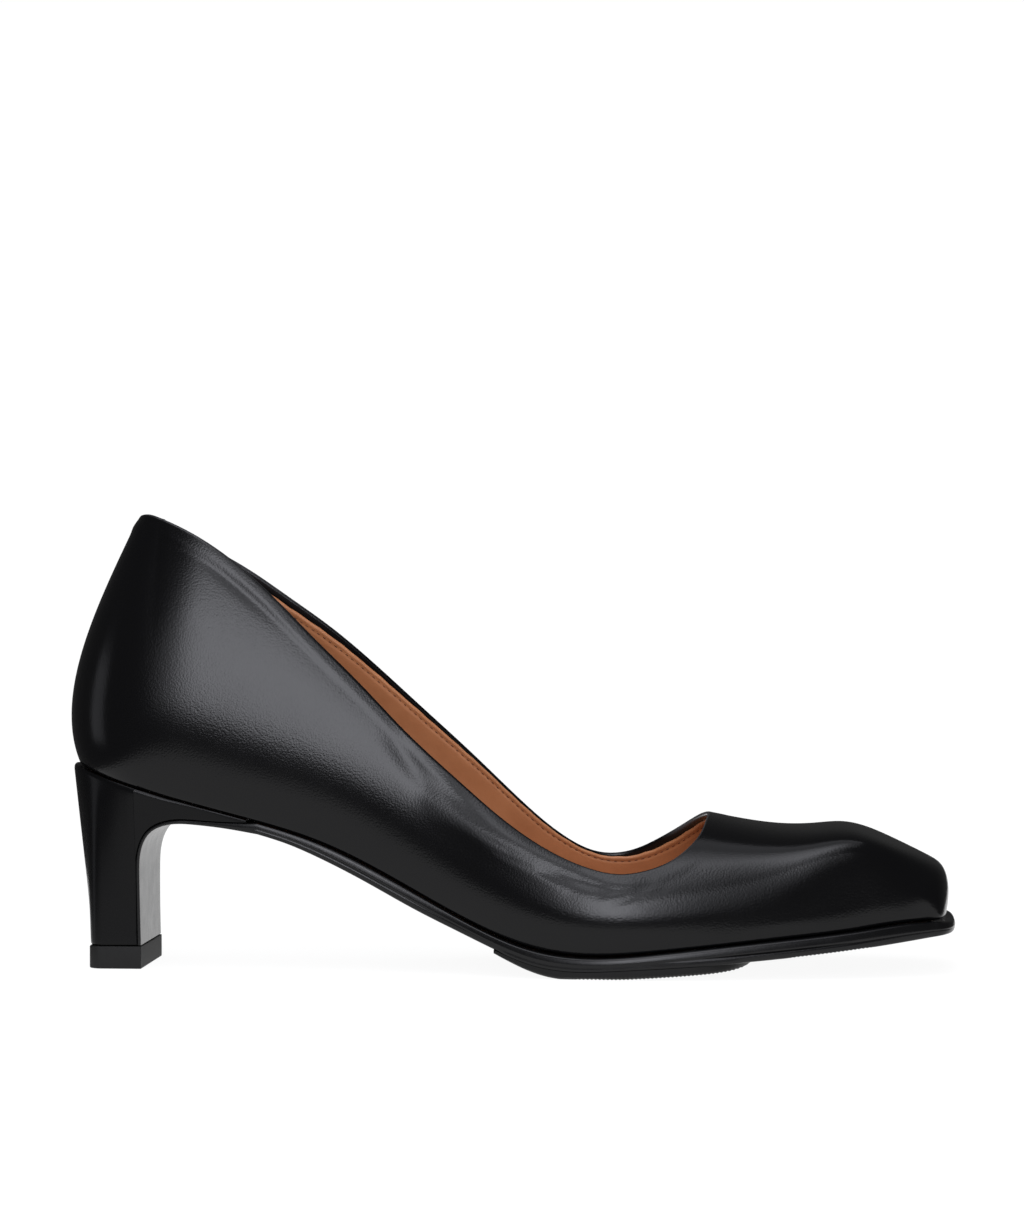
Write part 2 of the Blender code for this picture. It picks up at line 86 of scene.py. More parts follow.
# Sole, pad, heel and lift
FLAP_THICKNESS = 0.9
PAD_BACK_X = 122.5
PAD_FRONT_X = 193.0
PAD_BACK_FADE = 4.0
PAD_FRONT_FADE = 6.0
PAD_INSET = 0.12
SQUARED_BY_PAD = 0.85
SQUARED_UP_TO = 0.3
LIFT_HEIGHT = 6.3
LIFT_PROUD = 0.3
HEEL_BACK_X = 8.0
HEEL_BREAST_X = 21.4
HEEL_HALF_WIDTH = 17.5
HEEL_CORNER = 3.4
SEAT_LIP = 0.6
SEAT_LIP_END_X = 62.0
SEAT_LIP_FADE = 40.0
SEAT_LIP_BACK = 1.8
SEAT_LIP_BACK_END_X = 18.0
HEEL_SWEEP = 2.2
HEEL_LEAN = 0.78
HEEL_MIDDLE_X = 34.0
FLAP_X = HEEL_BREAST_X + JOINT_GAP + FLAP_THICKNESS

# Mesh counts
FAN_RIBS = 24
SIDE_RIBS = 48
VAMP_RIBS = 100
RIB_STEPS = 150
OUTER_ROWS = 84
LINING_ROWS = 64
LINING_ROW_SPREAD = 0.7

# The lift's lower corner sets the shoe's axes in the frame
lift_low, lift_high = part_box("top_lift")
SHOE_ORIGIN = np.array([
    lift_low.x - (HEEL_BACK_X - LIFT_PROUD) * MM,
    0.5 * (lift_low.y + lift_high.y),
    0.0,
])


def table(names, *rows):
    """Named columns from a short list of rows."""
    columns = np.array(rows, dtype=float).T
    return dict(zip(names.split(), columns))


def spline(knots, values, start_flat=False):
    """Cubic curve through the rows of a table, free at its ends or flat at its start."""
    knots = np.asarray(knots, dtype=float)
    values = np.asarray(values, dtype=float)
    count = len(knots)
    step = np.diff(knots)
    rise = np.diff(values) / step
    system = np.zeros((count, count))
    target = np.zeros(count)
    system[0, 0] = 1.0
    system[-1, -1] = 1.0
    if start_flat:
        system[0, 0] = 2.0 * step[0]
        system[0, 1] = step[0]
        target[0] = 6.0 * rise[0]
    for row in range(1, count - 1):
        system[row, row - 1] = step[row - 1]
        system[row, row] = 2.0 * (step[row - 1] + step[row])
        system[row, row + 1] = step[row]
        target[row] = 6.0 * (rise[row] - rise[row - 1])
    bend = np.linalg.solve(system, target)

    def at(place):
        place = np.asarray(place, dtype=float)
        cell = np.clip(np.searchsorted(knots, place) - 1, 0, count - 2)
        width = step[cell]
        left = (knots[cell + 1] - place) / width
        right = 1.0 - left
        curve = (left ** 3 - left) * bend[cell] + (right ** 3 - right) * bend[cell + 1]
        return left * values[cell] + right * values[cell + 1] + curve * width * width / 6.0

    return at


def soft_step(start, end, value):
    """0 before start, 1 after end, smooth between."""
    share = np.clip((np.asarray(value, dtype=float) - start) / (end - start), 0.0, 1.0)
    return share * share * (3.0 - 2.0 * share)


# Bottom edge of the last in side view: seat, waist, ball and toe spring
BOTTOM = table(
    "x z",
    (0.0, 57.3),
    (28.0, 48.8),
    (52.0, 42.5),
    (74.0, 35.7),
    (96.0, 25.0),
    (118.0, 13.6),
    (132.0, 8.4),
    (147.0, 6.3),
    (168.0, 7.5),
    (200.0, 10.9),
    (222.0, 13.3),
    (238.0, 15.1),
    (247.0, 15.1),
)
last_bottom = spline(BOTTOM["x"], BOTTOM["z"])

# Sections of the last, each a rib from the foot at the bottom edge to the crown
SECTIONS = table(
    "run foot_x lateral medial crown_x crown_y crown_z",
    (28.0, 28.0, 21.5, 21.5, 28.0, 0.0, 165.0),
    (52.0, 52.0, 22.3, 20.8, 52.0, 0.2, 149.0),
    (84.0, 84.0, 23.5, 18.8, 84.0, 1.0, 117.0),
    (110.0, 110.0, 27.5, 22.8, 110.0, 2.0, 88.0),
    (132.0, 132.0, 33.0, 30.2, 132.0, 3.0, 65.0),
    (152.0, 152.0, 36.0, 36.2, 152.0, 3.5, 52.0),
    (168.0, 168.0, 35.8, 38.0, 168.0, 3.7, 46.2),
    (186.0, 186.0, 34.0, 37.4, 186.0, 3.8, 42.0),
    (203.0, 203.0, 31.3, 35.0, 203.0, 3.6, 39.7),
    (210.0, 210.1, 29.9, 33.6, 210.4, 3.4, 39.85),
    (217.0, 217.0, 28.4, 32.0, 217.6, 3.2, 40.25),
    (229.0, 227.5, 25.4, 29.0, 230.0, 3.0, 36.6),
    (239.5, 235.5, 22.3, 25.9, 242.6, 2.8, 30.9),
    (244.5, 238.4, 20.9, 24.5, 246.2, 2.7, 27.9),
    (249.0, 240.4, 19.8, 23.4, 247.4, 2.6, 22.8),
    (255.0, 242.0, 18.7, 22.3, 246.6, 2.6, 15.6),
)
# Handles of the same ribs, rounded from a fit to the photo: the wall's stand off the foot, the shoulder's
# off the crown, and crest is how hard both pull
HANDLES = table(
    "wall_out wall_up wall_forward shoulder_out shoulder_down crest",
    (10.0, 20.0, 0.0, 15.0, 44.5, 1.0),
    (9.0, 20.0, 0.0, 13.5, 28.0, 1.0),
    (8.0, 20.0, 0.0, 16.0, 11.0, 1.0),
    (6.5, 18.0, 0.0, 22.0, 7.5, 1.0),
    (7.0, 17.5, 0.0, 25.5, 4.5, 1.0),
    (6.5, 18.5, 0.0, 26.0, 3.0, 1.0),
    (3.5, 18.5, 0.0, 28.0, 1.0, 1.05),
    (0.0, 19.5, 0.0, 30.0, 0.0, 1.25),
    (-2.0, 20.5, 0.0, 32.5, 0.0, 1.5),
    (-2.5, 21.0, 0.0, 33.0, 0.0, 1.75),
    (-2.5, 21.5, 0.0, 32.0, 0.0, 2.1),
    (-1.5, 20.5, 0.6, 27.5, 0.0, 2.7),
    (-0.5, 12.0, 2.0, 20.0, 0.0, 3.1),
    (0.5, 10.0, 2.8, 17.5, 0.0, 3.2),
    (0.5, 6.0, 3.2, 15.5, 0.0, 2.8),
    (0.3, 0.0, 3.0, 15.0, 0.0, 2.2),
)
RUN_START = SECTIONS["run"][0]
RUN_END = SECTIONS["run"][-1]
section = {}
for title, column in list(SECTIONS.items()) + list(HANDLES.items()):
    if title != "run":
        section[title] = spline(SECTIONS["run"], column, title in ("lateral", "medial", "wall_out"))

# Topline of the opening in side view, outer and inner side of the foot
TOPLINE = table(
    "x lateral medial",
    (14.0, 126.3, 126.3),
    (18.5, 126.6, 126.6),
    (20.8, 127.0, 126.6),
    (22.8, 127.1, 126.1),
    (27.0, 126.0, 124.3),
    (34.0, 123.0, 120.1),
    (48.0, 114.2, 111.9),
    (60.0, 103.8, 103.7),
    (72.0, 92.0, 95.1),
    (84.0, 80.5, 85.0),
    (98.0, 66.3, 72.0),
    (112.0, 53.8, 58.8),
    (126.0, 42.2, 44.8),
    (138.0, 34.6, 34.4),
    (148.0, 30.5, 29.7),
    (157.0, 28.8, 30.2),
    (165.0, 30.0, 33.8),
    (171.0, 32.4, 37.5),
    (175.8, 36.0, 40.8),
    (178.6, 39.3, 42.5),
    (THROAT_X, 43.2, 43.2),
)
SIDES = {"lateral": -1.0, "medial": 1.0}


def unit(vectors):
    return vectors / np.maximum(np.linalg.norm(vectors, axis=-1, keepdims=True), 1e-12)


def run_along(points):
    """Length from the first point of a line to each of its points."""
    steps = np.linalg.norm(np.diff(np.asarray(points), axis=-2), axis=-1)
    start = np.zeros(steps.shape[:-1] + (1,))
    return np.concatenate((start, np.cumsum(steps, axis=-1)), axis=-1)


def topline_curve(side):
    length = run_along(np.stack([TOPLINE["x"], TOPLINE[side]], axis=1))
    places = np.linspace(0.0, length[-1], 600)
    return np.stack([spline(length, TOPLINE["x"])(places), spline(length, TOPLINE[side])(places)], axis=1)


toplines = {side: topline_curve(side) for side in SIDES}


def rib_point(controls, crest, share):
    """Point on a rib, share 0 at the foot and 1 at the crown; crest pulls it into the corner."""
    share = np.asarray(share, dtype=float)
    rest = 1.0 - share
    pull = np.stack([
        rest ** 3,
        3.0 * crest * rest * rest * share,
        3.0 * crest * rest * share * share,
        share ** 3,
    ], axis=-1)
    return (pull[..., None] * controls).sum(axis=-2) / pull.sum(axis=-1)[..., None]


def fan_controls(side, turn):
    sign = SIDES[side]
    back = np.cos(turn)
    flank = np.sin(turn)
    half = section[side](RUN_START)
    wall_up = BACK_WALL_UP * back ** 2 + section["wall_up"](RUN_START) * flank ** 2
    drop = BACK_SHOULDER_DOWN * back ** 2 + section["shoulder_down"](RUN_START) * flank ** 2
    crown_z = section["crown_z"](RUN_START)
    foot_x = HEEL_AXIS_X - BACK_RADIUS * back
    foot_z = last_bottom(foot_x)
    wall_x = HEEL_AXIS_X - (BACK_RADIUS + BACK_WALL_OUT) * back
    wall_half = half + section["wall_out"](RUN_START)
    shoulder_x = HEEL_AXIS_X - BACK_SHOULDER_OUT * back
    return np.array([
        (foot_x, sign * half * flank, foot_z),
        (wall_x, sign * wall_half * flank, foot_z + wall_up),
        (shoulder_x, sign * section["shoulder_out"](RUN_START) * flank, crown_z - drop),
        (HEEL_AXIS_X, 0.0, crown_z),
    ])


def run_controls(side, run):
    """Foot, wall handle, shoulder handle and crown of the ribs at some runs, and their crests."""
    run = np.asarray(run, dtype=float)
    sign = SIDES[side]
    at = {title: curve(run) for title, curve in section.items()}
    half = at[side]
    middle = 0.5 * (at["lateral"] + at["medial"])
    wall_half = 0.5 * (half + np.maximum(middle, half)) + at["wall_out"]
    foot_z = last_bottom(at["foot_x"])
    shoulder_y = at["crown_y"] + sign * at["shoulder_out"]
    controls = np.stack([
        np.stack([at["foot_x"], sign * half, foot_z], axis=-1),
        np.stack([at["foot_x"] + at["wall_forward"], sign * wall_half, foot_z + at["wall_up"]], axis=-1),
        np.stack([at["crown_x"], shoulder_y, at["crown_z"] - at["shoulder_down"]], axis=-1),
        np.stack([at["crown_x"], at["crown_y"], at["crown_z"]], axis=-1),
    ], axis=-2)
    return controls, at["crest"]


def last_surface(side, run, share):
    controls, crest = run_controls(side, run)
    return rib_point(controls, crest, share)


def share_at_height(controls, crest, height_at):
    """Share of a rib where it reaches a height given over x."""
    low = 0.0
    high = 1.0
    for _ in range(40):
        middle = 0.5 * (low + high)
        x, _, z = rib_point(controls, crest, middle)
        if z < height_at(x):
            low = middle
        else:
            high = middle
    return 0.5 * (low + high)


def spread(points, count):
    """Places of evenly spaced points along a line, as shares of its index."""
    length = run_along(points)
    wanted = np.linspace(0.0, length[-1], count)
    return np.interp(wanted, length, np.linspace(0.0, 1.0, len(points)))


def front_share(place):
    """Run and share on the bottom edge: along the side, then across the front of the toe."""
    side_part = 0.86
    if place <= side_part:
        return SPLIT_X + (RUN_END - SPLIT_X) * place / side_part, 0.0
    return RUN_END, (place - side_part) / (1.0 - side_part)


def throat_share(side, place):
    """Run and share of the topline between the split and the throat."""
    if place >= 1.0:
        return THROAT_X, 1.0
    curve = toplines[side]
    index = np.linspace(0.0, 1.0, len(curve))
    start = float(np.interp(SPLIT_X, curve[:, 0], index))
    here = start + (1.0 - start) * place
    x = float(np.interp(here, index, curve[:, 0]))
    z = float(np.interp(here, index, curve[:, 1]))
    controls, crest = run_controls(side, x)
    return x, share_at_height(controls, crest, lambda _: z)


def half_ribs(side):
    """Ribs of one side from the centre back to the centre front, each a line from the feather edge up."""
    shares = np.linspace(0.0, 1.0, RIB_STEPS)
    curve = toplines[side]

    def topline(x):
        return float(np.interp(x, curve[:, 0], curve[:, 1]))

    ribs = []
    for turn in np.linspace(0.0, 0.5 * math.pi, FAN_RIBS, endpoint=False):
        controls = fan_controls(side, turn)
        ribs.append(rib_point(controls, 1.0, shares * share_at_height(controls, 1.0, topline)))
    for run in np.linspace(RUN_START, SPLIT_X, SIDE_RIBS, endpoint=False):
        controls, crest = run_controls(side, run)
        ribs.append(rib_point(controls, crest, shares * share_at_height(controls, crest, topline)))
    fine = np.linspace(0.0, 1.0, 200)
    feet = [front_share(place) for place in fine]
    tops = [throat_share(side, place) for place in fine]
    foot_places = spread([last_surface(side, *foot) for foot in feet], VAMP_RIBS)
    top_places = spread([last_surface(side, *top) for top in tops], VAMP_RIBS)
    for foot_place, top_place in zip(foot_places, top_places):
        foot_run, foot_share = front_share(foot_place)
        top_run, top_share = throat_share(side, top_place)
        run = foot_run + (top_run - foot_run) * shares
        ribs.append(last_surface(side, run, foot_share + (top_share - foot_share) * shares))
    return np.array(ribs)


def ease_counter(ribs):
    """Let the round counter run out into the quarter: near the join, points move sideways to an average."""
    eased = ribs.copy()
    for step in range(RIB_STEPS):
        line = ribs[:, step, :2]
        length = run_along(line)
        reach = EASE_LOW + (EASE_HIGH - EASE_LOW) * (step / (RIB_STEPS - 1.0)) ** 2
        apart = length[:, None] - length[None, :]
        share = np.exp(-0.5 * (apart / reach) ** 2) * np.gradient(length)[None, :]
        average = share @ line / share.sum(axis=1, keepdims=True)
        along = unit(np.gradient(line, axis=0))
        level = np.stack([-along[:, 1], along[:, 0]], axis=1)
        near_join = np.exp(-((length - length[FAN_RIBS] - EASE_AHEAD) / EASE_SPAN) ** 2)
        shift = near_join * ((average - line) * level).sum(axis=1)
        shift[0] = 0.0
        eased[:, step, 1] += level[:, 1] * shift
    return eased


def lean_collar(ribs):
    """Lean the last millimetres of the collar's back forward."""
    leant = ribs.copy()
    near_back = np.exp(-(ribs[..., 1] / COLLAR_LEAN_HALF_WIDTH) ** 2)
    near_top = soft_step(COLLAR_LEAN_FROM, COLLAR_LEAN_TO, ribs[..., 2])
    leant[..., 0] += COLLAR_LEAN * near_top * near_back
    return leant


# The last as one loop of ribs: outer side from the toe back, inner side forward to the toe again
lateral_ribs = lean_collar(ease_counter(half_ribs("lateral")))
medial_ribs = lean_collar(ease_counter(half_ribs("medial")))
last_ribs = np.concatenate((lateral_ribs[::-1], medial_ribs[1:]))
rib_length = run_along(last_ribs)
RIB_COUNT = len(last_ribs)
rib_side = np.concatenate((np.full(len(lateral_ribs), -1.0), np.full(len(medial_ribs) - 1, 1.0)))


def around(grid):
    """Change from rib to rib, carried over the join at the centre front."""
    wrapped = np.concatenate((grid[-2:-1], grid, grid[1:2]))
    return 0.5 * (wrapped[2:] - wrapped[:-2])


rib_upward = unit(np.gradient(last_ribs, axis=1))
rib_outward = unit(np.cross(rib_upward, around(last_ribs)))
if rib_outward[RIB_COUNT // 2, 0, 0] > 0.0:
    rib_outward = -rib_outward


def skin(heights):
    """Places on the last, outward and upward directions, at heights given for each rib along it."""
    steps = np.arange(RIB_STEPS)
    index = np.stack([np.interp(row, length, steps) for row, length in zip(heights, rib_length)])
    low = np.minimum(index.astype(int), RIB_STEPS - 2)
    share = (index - low)[..., None]
    rib = np.arange(RIB_COUNT)[:, None]
    grids = (last_ribs, rib_outward, rib_upward)
    return [grid[rib, low] * (1.0 - share) + grid[rib, low + 1] * share for grid in grids]


# Making pieces
def to_frame(points):
    return np.asarray(points) * MM + SHOE_ORIGIN


def woven(name, points, paint, smooth_angle=50.0, wear_and_sheen=None):
    """A grid whose crossings are moved to the given places, with its meeting edges joined."""
    across, along = points.shape[:2]
    mesh = bmesh.new()
    bmesh.ops.create_grid(mesh, x_segments=across - 1, y_segments=along - 1, size=0.5)
    places = to_frame(points)
    # Painted highlight: each vertex carries the share of grey sheen that the calf material mixes into its
    # colour
    painted_sheen = mesh.verts.layers.float.new("painted_sheen")
    for vertex in mesh.verts:
        column = round((vertex.co.x + 0.5) * (across - 1))
        row = round((vertex.co.y + 0.5) * (along - 1))
        vertex.co = places[column, row]
        if wear_and_sheen is not None:
            vertex[painted_sheen] = wear_and_sheen[column, row]
    bmesh.ops.remove_doubles(mesh, verts=mesh.verts, dist=1e-6)
    bmesh.ops.dissolve_degenerate(mesh, dist=1e-7, edges=mesh.edges)
    rim = [edge for edge in mesh.edges if edge.is_boundary]
    if rim:
        bmesh.ops.holes_fill(mesh, edges=rim, sides=0)
    return finish(name, mesh, paint, smooth_angle)


def finish(name, mesh, paint, smooth_angle=50.0):
    bmesh.ops.recalc_face_normals(mesh, faces=mesh.faces)
    sheet = bpy.data.meshes.new(name)
    mesh.to_mesh(sheet)
    mesh.free()
    sheet.materials.append(paint)
    sheet.shade_smooth()
    sheet.set_sharp_from_angle(angle=math.radians(smooth_angle))
    piece = bpy.data.objects.new(name, sheet)
    bpy.context.scene.collection.objects.link(piece)
    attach(piece, "root")
    return piece


def lofted(name, left, right, paint, slot, over=4, under=4, smooth_angle=50.0):
    """Closed solid from profiles, bottom to top, on the outer and the inner side at each station."""
    shares_over = np.linspace(0.0, 1.0, over + 2)[1:-1, None]
    shares_under = np.linspace(0.0, 1.0, under + 2)[1:-1, None]
    top = left[:, -1:] + (right[:, -1:] - left[:, -1:]) * shares_over
    bottom = right[:, :1] + (left[:, :1] - right[:, :1]) * shares_under
    loop = np.concatenate((left, top, right[:, ::-1], bottom, left[:, :1]), axis=1)
    return woven(name, loop, paint, smooth_angle=smooth_angle)


# Materials
def linear(hex_colour):
    """Linear colour from an sRGB hex value."""
    channels = [int(hex_colour[place:place + 2], 16) / 255.0 for place in (1, 3, 5)]
    flat = [c / 12.92 if c <= 0.04045 else ((c + 0.055) / 1.055) ** 2.4 for c in channels]
    return (*flat, 1.0)


def add(tree, kind, settings=None, values=None, links=None):
    """A node with its settings, socket values and incoming links."""
    node = tree.nodes.new(kind)
    for title, setting in (settings or {}).items():
        setattr(node, title, setting)
    for socket, value in (values or {}).items():
        node.inputs[socket].default_value = value
    for socket, source in (links or {}).items():
        tree.links.new(source, node.inputs[socket])
    return node


def started(name, base, roughness, ior):
    """A material with its base colour and gloss, its nodes, and the place on the piece for textures."""
    paint = bpy.data.materials.new(name)
    paint.use_nodes = True
    tree = paint.node_tree
    shader = tree.nodes["Principled BSDF"]
    shader.inputs["Base Color"].default_value = linear(base)
    shader.inputs["Roughness"].default_value = roughness
    shader.inputs["IOR"].default_value = ior
    place = add(tree, "ShaderNodeTexCoord").outputs["Object"]
    return paint, tree, shader, place


def calf_leather():
    """Boarded black calf, aniline dyed and polished: deep black and glossy with a fine
    pebbled grain, with a painted grey highlight along the crest of the folded edge at the throat and the
    collar.

    The grain is drawn about twice as coarse as real calf, so that it shows in the picture.
    """
    paint, tree, shader, place = started("polished_black_calf", "#0a0a0b", roughness=0.17, ior=1.3)
    # Painted highlight: the per-vertex sheen share mixes a light grey into the black along the fold's crest
    painted_sheen = add(tree, "ShaderNodeAttribute", {"attribute_name": "painted_sheen"})
    sheen_mix = add(tree, "ShaderNodeMix", {"data_type": "RGBA"},
              {6: linear("#0a0a0b"), 7: linear("#464648")}, {0: painted_sheen.outputs["Fac"]})
    tree.links.new(sheen_mix.outputs[2], shader.inputs["Base Color"])
    pebble = add(tree, "ShaderNodeTexVoronoi", {"feature": "SMOOTH_F1"},
                 {"Scale": 1.0 / (0.52 * MM), "Smoothness": 0.6}, {"Vector": place})
    fine = add(tree, "ShaderNodeTexNoise", None,
               {"Scale": 1.0 / (0.45 * MM), "Detail": 3.0}, {"Vector": place})
    broad = add(tree, "ShaderNodeTexNoise", None,
                {"Scale": 1.0 / (11.0 * MM), "Detail": 3.0}, {"Vector": place})
    grain = add(tree, "ShaderNodeMath", {"operation": "SUBTRACT"}, None,
                {0: fine.outputs["Fac"], 1: pebble.outputs["Distance"]})
    relief = add(tree, "ShaderNodeBump", None,
                 {"Strength": 1.0, "Distance": 0.016 * MM}, {"Height": grain.outputs["Value"]})
    tree.links.new(relief.outputs["Normal"], shader.inputs["Normal"])
    polish = add(tree, "ShaderNodeMapRange", None,
                 {"To Min": 0.145, "To Max": 0.195}, {"Value": broad.outputs["Fac"]})
    tree.links.new(polish.outputs["Result"], shader.inputs["Roughness"])
    return paint


def heel_leather():
    """The same calf drawn tight over the heel block: its grain is stretched nearly flat."""
    paint, tree, shader, place = started("stretched_black_calf", "#080809", roughness=0.27, ior=1.24)
    fine = add(tree, "ShaderNodeTexNoise", None,
               {"Scale": 1.0 / (0.6 * MM), "Detail": 3.0}, {"Vector": place})
    broad = add(tree, "ShaderNodeTexNoise", None,
                {"Scale": 1.0 / (7.0 * MM), "Detail": 2.0}, {"Vector": place})
    relief = add(tree, "ShaderNodeBump", None,
                 {"Strength": 0.6, "Distance": 0.015 * MM}, {"Height": fine.outputs["Fac"]})
    tree.links.new(relief.outputs["Normal"], shader.inputs["Normal"])
    polish = add(tree, "ShaderNodeMapRange", None,
                 {"To Min": 0.22, "To Max": 0.32}, {"Value": broad.outputs["Fac"]})
    tree.links.new(polish.outputs["Result"], shader.inputs["Roughness"])
    return paint


def lining_leather(name, base, shade):
    """Vegetable-tanned tan lining, unpolished: warm, mottled, with fine pores and soft rubbed patches."""
    paint, tree, shader, place = started(name, base, roughness=0.5, ior=1.4)
    cloud = add(tree, "ShaderNodeTexNoise", None,
                {"Scale": 1.0 / (9.0 * MM), "Detail": 5.0, "Roughness": 0.6}, {"Vector": place})
    fibre = add(tree, "ShaderNodeTexNoise", None,
                {"Scale": 1.0 / (0.6 * MM), "Detail": 4.0}, {"Vector": place})
    mottle = add(tree, "ShaderNodeMix", {"data_type": "RGBA"},
                 {6: linear(base), 7: linear(shade)}, {0: cloud.outputs["Fac"]})
    tree.links.new(mottle.outputs[2], shader.inputs["Base Color"])
    relief = add(tree, "ShaderNodeBump", None,
                 {"Strength": 0.3, "Distance": 0.08 * MM}, {"Height": fibre.outputs["Fac"]})
    tree.links.new(relief.outputs["Normal"], shader.inputs["Normal"])
    return paint


def sole_leather():
    """Sole edge dyed black, waxed and burnished with a hot iron: smooth, glossy, with faint scuffs."""
    paint, tree, shader, place = started("burnished_black_sole_edge", "#0c0c0d", roughness=0.24, ior=1.34)
    fibre = add(tree, "ShaderNodeTexNoise", None,
                {"Scale": 1.0 / (0.7 * MM), "Detail": 3.0}, {"Vector": place})
    scuff = add(tree, "ShaderNodeTexNoise", None,
                {"Scale": 1.0 / (4.0 * MM), "Detail": 4.0}, {"Vector": place})
    relief = add(tree, "ShaderNodeBump", None,
                 {"Strength": 0.8, "Distance": 0.02 * MM}, {"Height": fibre.outputs["Fac"]})
    tree.links.new(relief.outputs["Normal"], shader.inputs["Normal"])
    polish = add(tree, "ShaderNodeMapRange", None,
                 {"To Min": 0.18, "To Max": 0.3}, {"Value": scuff.outputs["Fac"]})
    tree.links.new(polish.outputs["Result"], shader.inputs["Roughness"])
    return paint


def rubber(name, base, worn, roughness):
    """Moulded black rubber: dull, very finely pitted, a shade greyer where it is rubbed."""
    paint, tree, shader, place = started(name, base, roughness, ior=1.3)
    pits = add(tree, "ShaderNodeTexNoise", None,
               {"Scale": 1.0 / (0.5 * MM), "Detail": 2.0}, {"Vector": place})
    wear_and_sheen = add(tree, "ShaderNodeTexNoise", None,
                 {"Scale": 1.0 / (5.0 * MM), "Detail": 4.0}, {"Vector": place})
    shade = add(tree, "ShaderNodeMix", {"data_type": "RGBA"},
                {6: linear(base), 7: linear(worn)}, {0: wear_and_sheen.outputs["Fac"]})
    tree.links.new(shade.outputs[2], shader.inputs["Base Color"])
    relief = add(tree, "ShaderNodeBump", None,
                 {"Strength": 0.8, "Distance": 0.02 * MM}, {"Height": pits.outputs["Fac"]})
    tree.links.new(relief.outputs["Normal"], shader.inputs["Normal"])
    return paint


def thread():
    """Waxed brown linen thread, pulled tight, coloured dark as painted shade for the needle holes it sinks
    into, with a random darker tone from the wax.
    """
    paint, tree, shader, place = started("waxed_brown_thread", "#6b3a1c", roughness=0.55, ior=1.45)
    wax = add(tree, "ShaderNodeTexNoise", None,
              {"Scale": 1.0 / (0.8 * MM), "Detail": 2.0}, {"Vector": place})
    # Painted shade: both browns are dark to stand in for the shade of the sunk needle holes; the noise
    # varies them at random
    shade = add(tree, "ShaderNodeMix", {"data_type": "RGBA"},
                {6: linear("#6b3a1c"), 7: linear("#3c1f0f")}, {0: wax.outputs["Fac"]})
    tree.links.new(shade.outputs[2], shader.inputs["Base Color"])
    return paint


# Upper leather
# Creases in side view where the foot bends the leather: troughs, and ridges with a minus
CREASES = table(
    "x0 z0 x1 z1 width depth",
    (108.0, 53.0, 133.0, 35.0, 2.4, -0.10),
    (126.0, 39.4, 153.0, 26.6, 2.2, -0.13),
    (124.0, 36.4, 142.0, 27.8, 1.9, 0.14),
    (134.0, 31.0, 153.0, 24.6, 1.9, 0.16),
    (145.0, 26.8, 160.0, 23.4, 1.5, 0.09),
    (130.0, 31.2, 144.0, 25.4, 1.1, 0.11),
    (155.0, 19.4, 167.5, 27.2, 1.8, 0.08),
    (149.0, 21.6, 160.0, 25.4, 0.9, 0.05),
    (152.0, 19.4, 164.0, 23.4, 0.9, 0.05),
    (162.0, 20.2, 171.0, 26.0, 1.0, 0.04),
    (118.0, 39.0, 130.0, 32.8, 0.9, 0.1),
    (121.0, 35.0, 134.0, 29.4, 0.9, 0.09),
    (92.0, 67.0, 105.0, 49.4, 2.8, 0.34),
    (102.0, 48.0, 145.0, 26.5, 4.5, -0.75),
    (32.0, 122.5, 62.0, 96.0, 1.8, 0.13),
)
INNER_CREASES = 0.7

# Band of the folded edge: its lift, more at the quarters, and where it ends below the topline
BAND_LIFT = 0.08
BAND_QUARTER_LIFT = 0.2
BAND_QUARTER_X = (50.0, 95.0)
BAND_END = (3.6, 6.8)

# Tuck of the toe's walls: how deep, how high, and where along the foot it comes and goes
TUCK_DEPTH = 0.6
TUCK_HEIGHT = 6.5
TUCK_FROM_X = (180.0, 205.0)
TUCK_TO_X = (226.0, 240.0)

# Painted highlight on the fold: grey painted along the folded edge's crest, full at the throat and less at
# the collar
SHEEN_THROAT_X = (166.0, 174.0)
SHEEN_COLLAR_X = (45.0, 85.0)
COLLAR_SHEEN = 0.6


def wrinkles(points, side):
    """How far creases push the leather in, in millimetres; the inner side has the outer side's, fainter."""
    push = np.zeros(points.shape[:-1])
    for x0, z0, x1, z1, width, depth in zip(*CREASES.values()):
        line = np.array([x1 - x0, z1 - z0])
        flat = points[..., [0, 2]] - np.array([x0, z0])
        share = flat @ line / (line @ line)
        away = (flat[..., 0] * line[1] - flat[..., 1] * line[0]) / np.linalg.norm(line)
        taper = np.clip(1.0 - (2.0 * share - 1.0) ** 2, 0.0, 1.0)
        push += depth * taper * np.exp(-(away / width) ** 2)
    return push * np.where(side < 0.0, 1.0, INNER_CREASES)


def folded_band(points, below):
    """The turned-in edge lifts a narrow band under the topline, most at the quarters."""
    lift = BAND_LIFT + BAND_QUARTER_LIFT * (1.0 - soft_step(*BAND_QUARTER_X, points[..., 0]))
    return lift * (1.0 - soft_step(*BAND_END, below))


def tuck(points, heights):
    """Round the toe's walls under towards the feather edge."""
    near_edge = np.clip(1.0 - heights / TUCK_HEIGHT, 0.0, 1.0)
    x = points[..., 0]
    along = soft_step(*TUCK_FROM_X, x) * (1.0 - soft_step(*TUCK_TO_X, x))
    return TUCK_DEPTH * near_edge ** 2 * along


# Black leather that shows above the lining inside the opening
STRIP = table(
    "x width",
    (10.0, 2.4),
    (60.0, 2.5),
    (85.0, 1.9),
    (105.0, 1.2),
    (120.0, 0.7),
    (132.0, 0.4),
    (143.0, 0.3),
    (150.0, 0.7),
    (158.0, 1.6),
    (166.0, 2.2),
    (176.0, 2.0),
    (182.0, 1.7),
)
strip_at = spline(STRIP["x"], STRIP["width"])
PUCKERS = 62
PUCKER_DEPTH = 0.1
FINE_PUCKER_DEPTH = 0.06

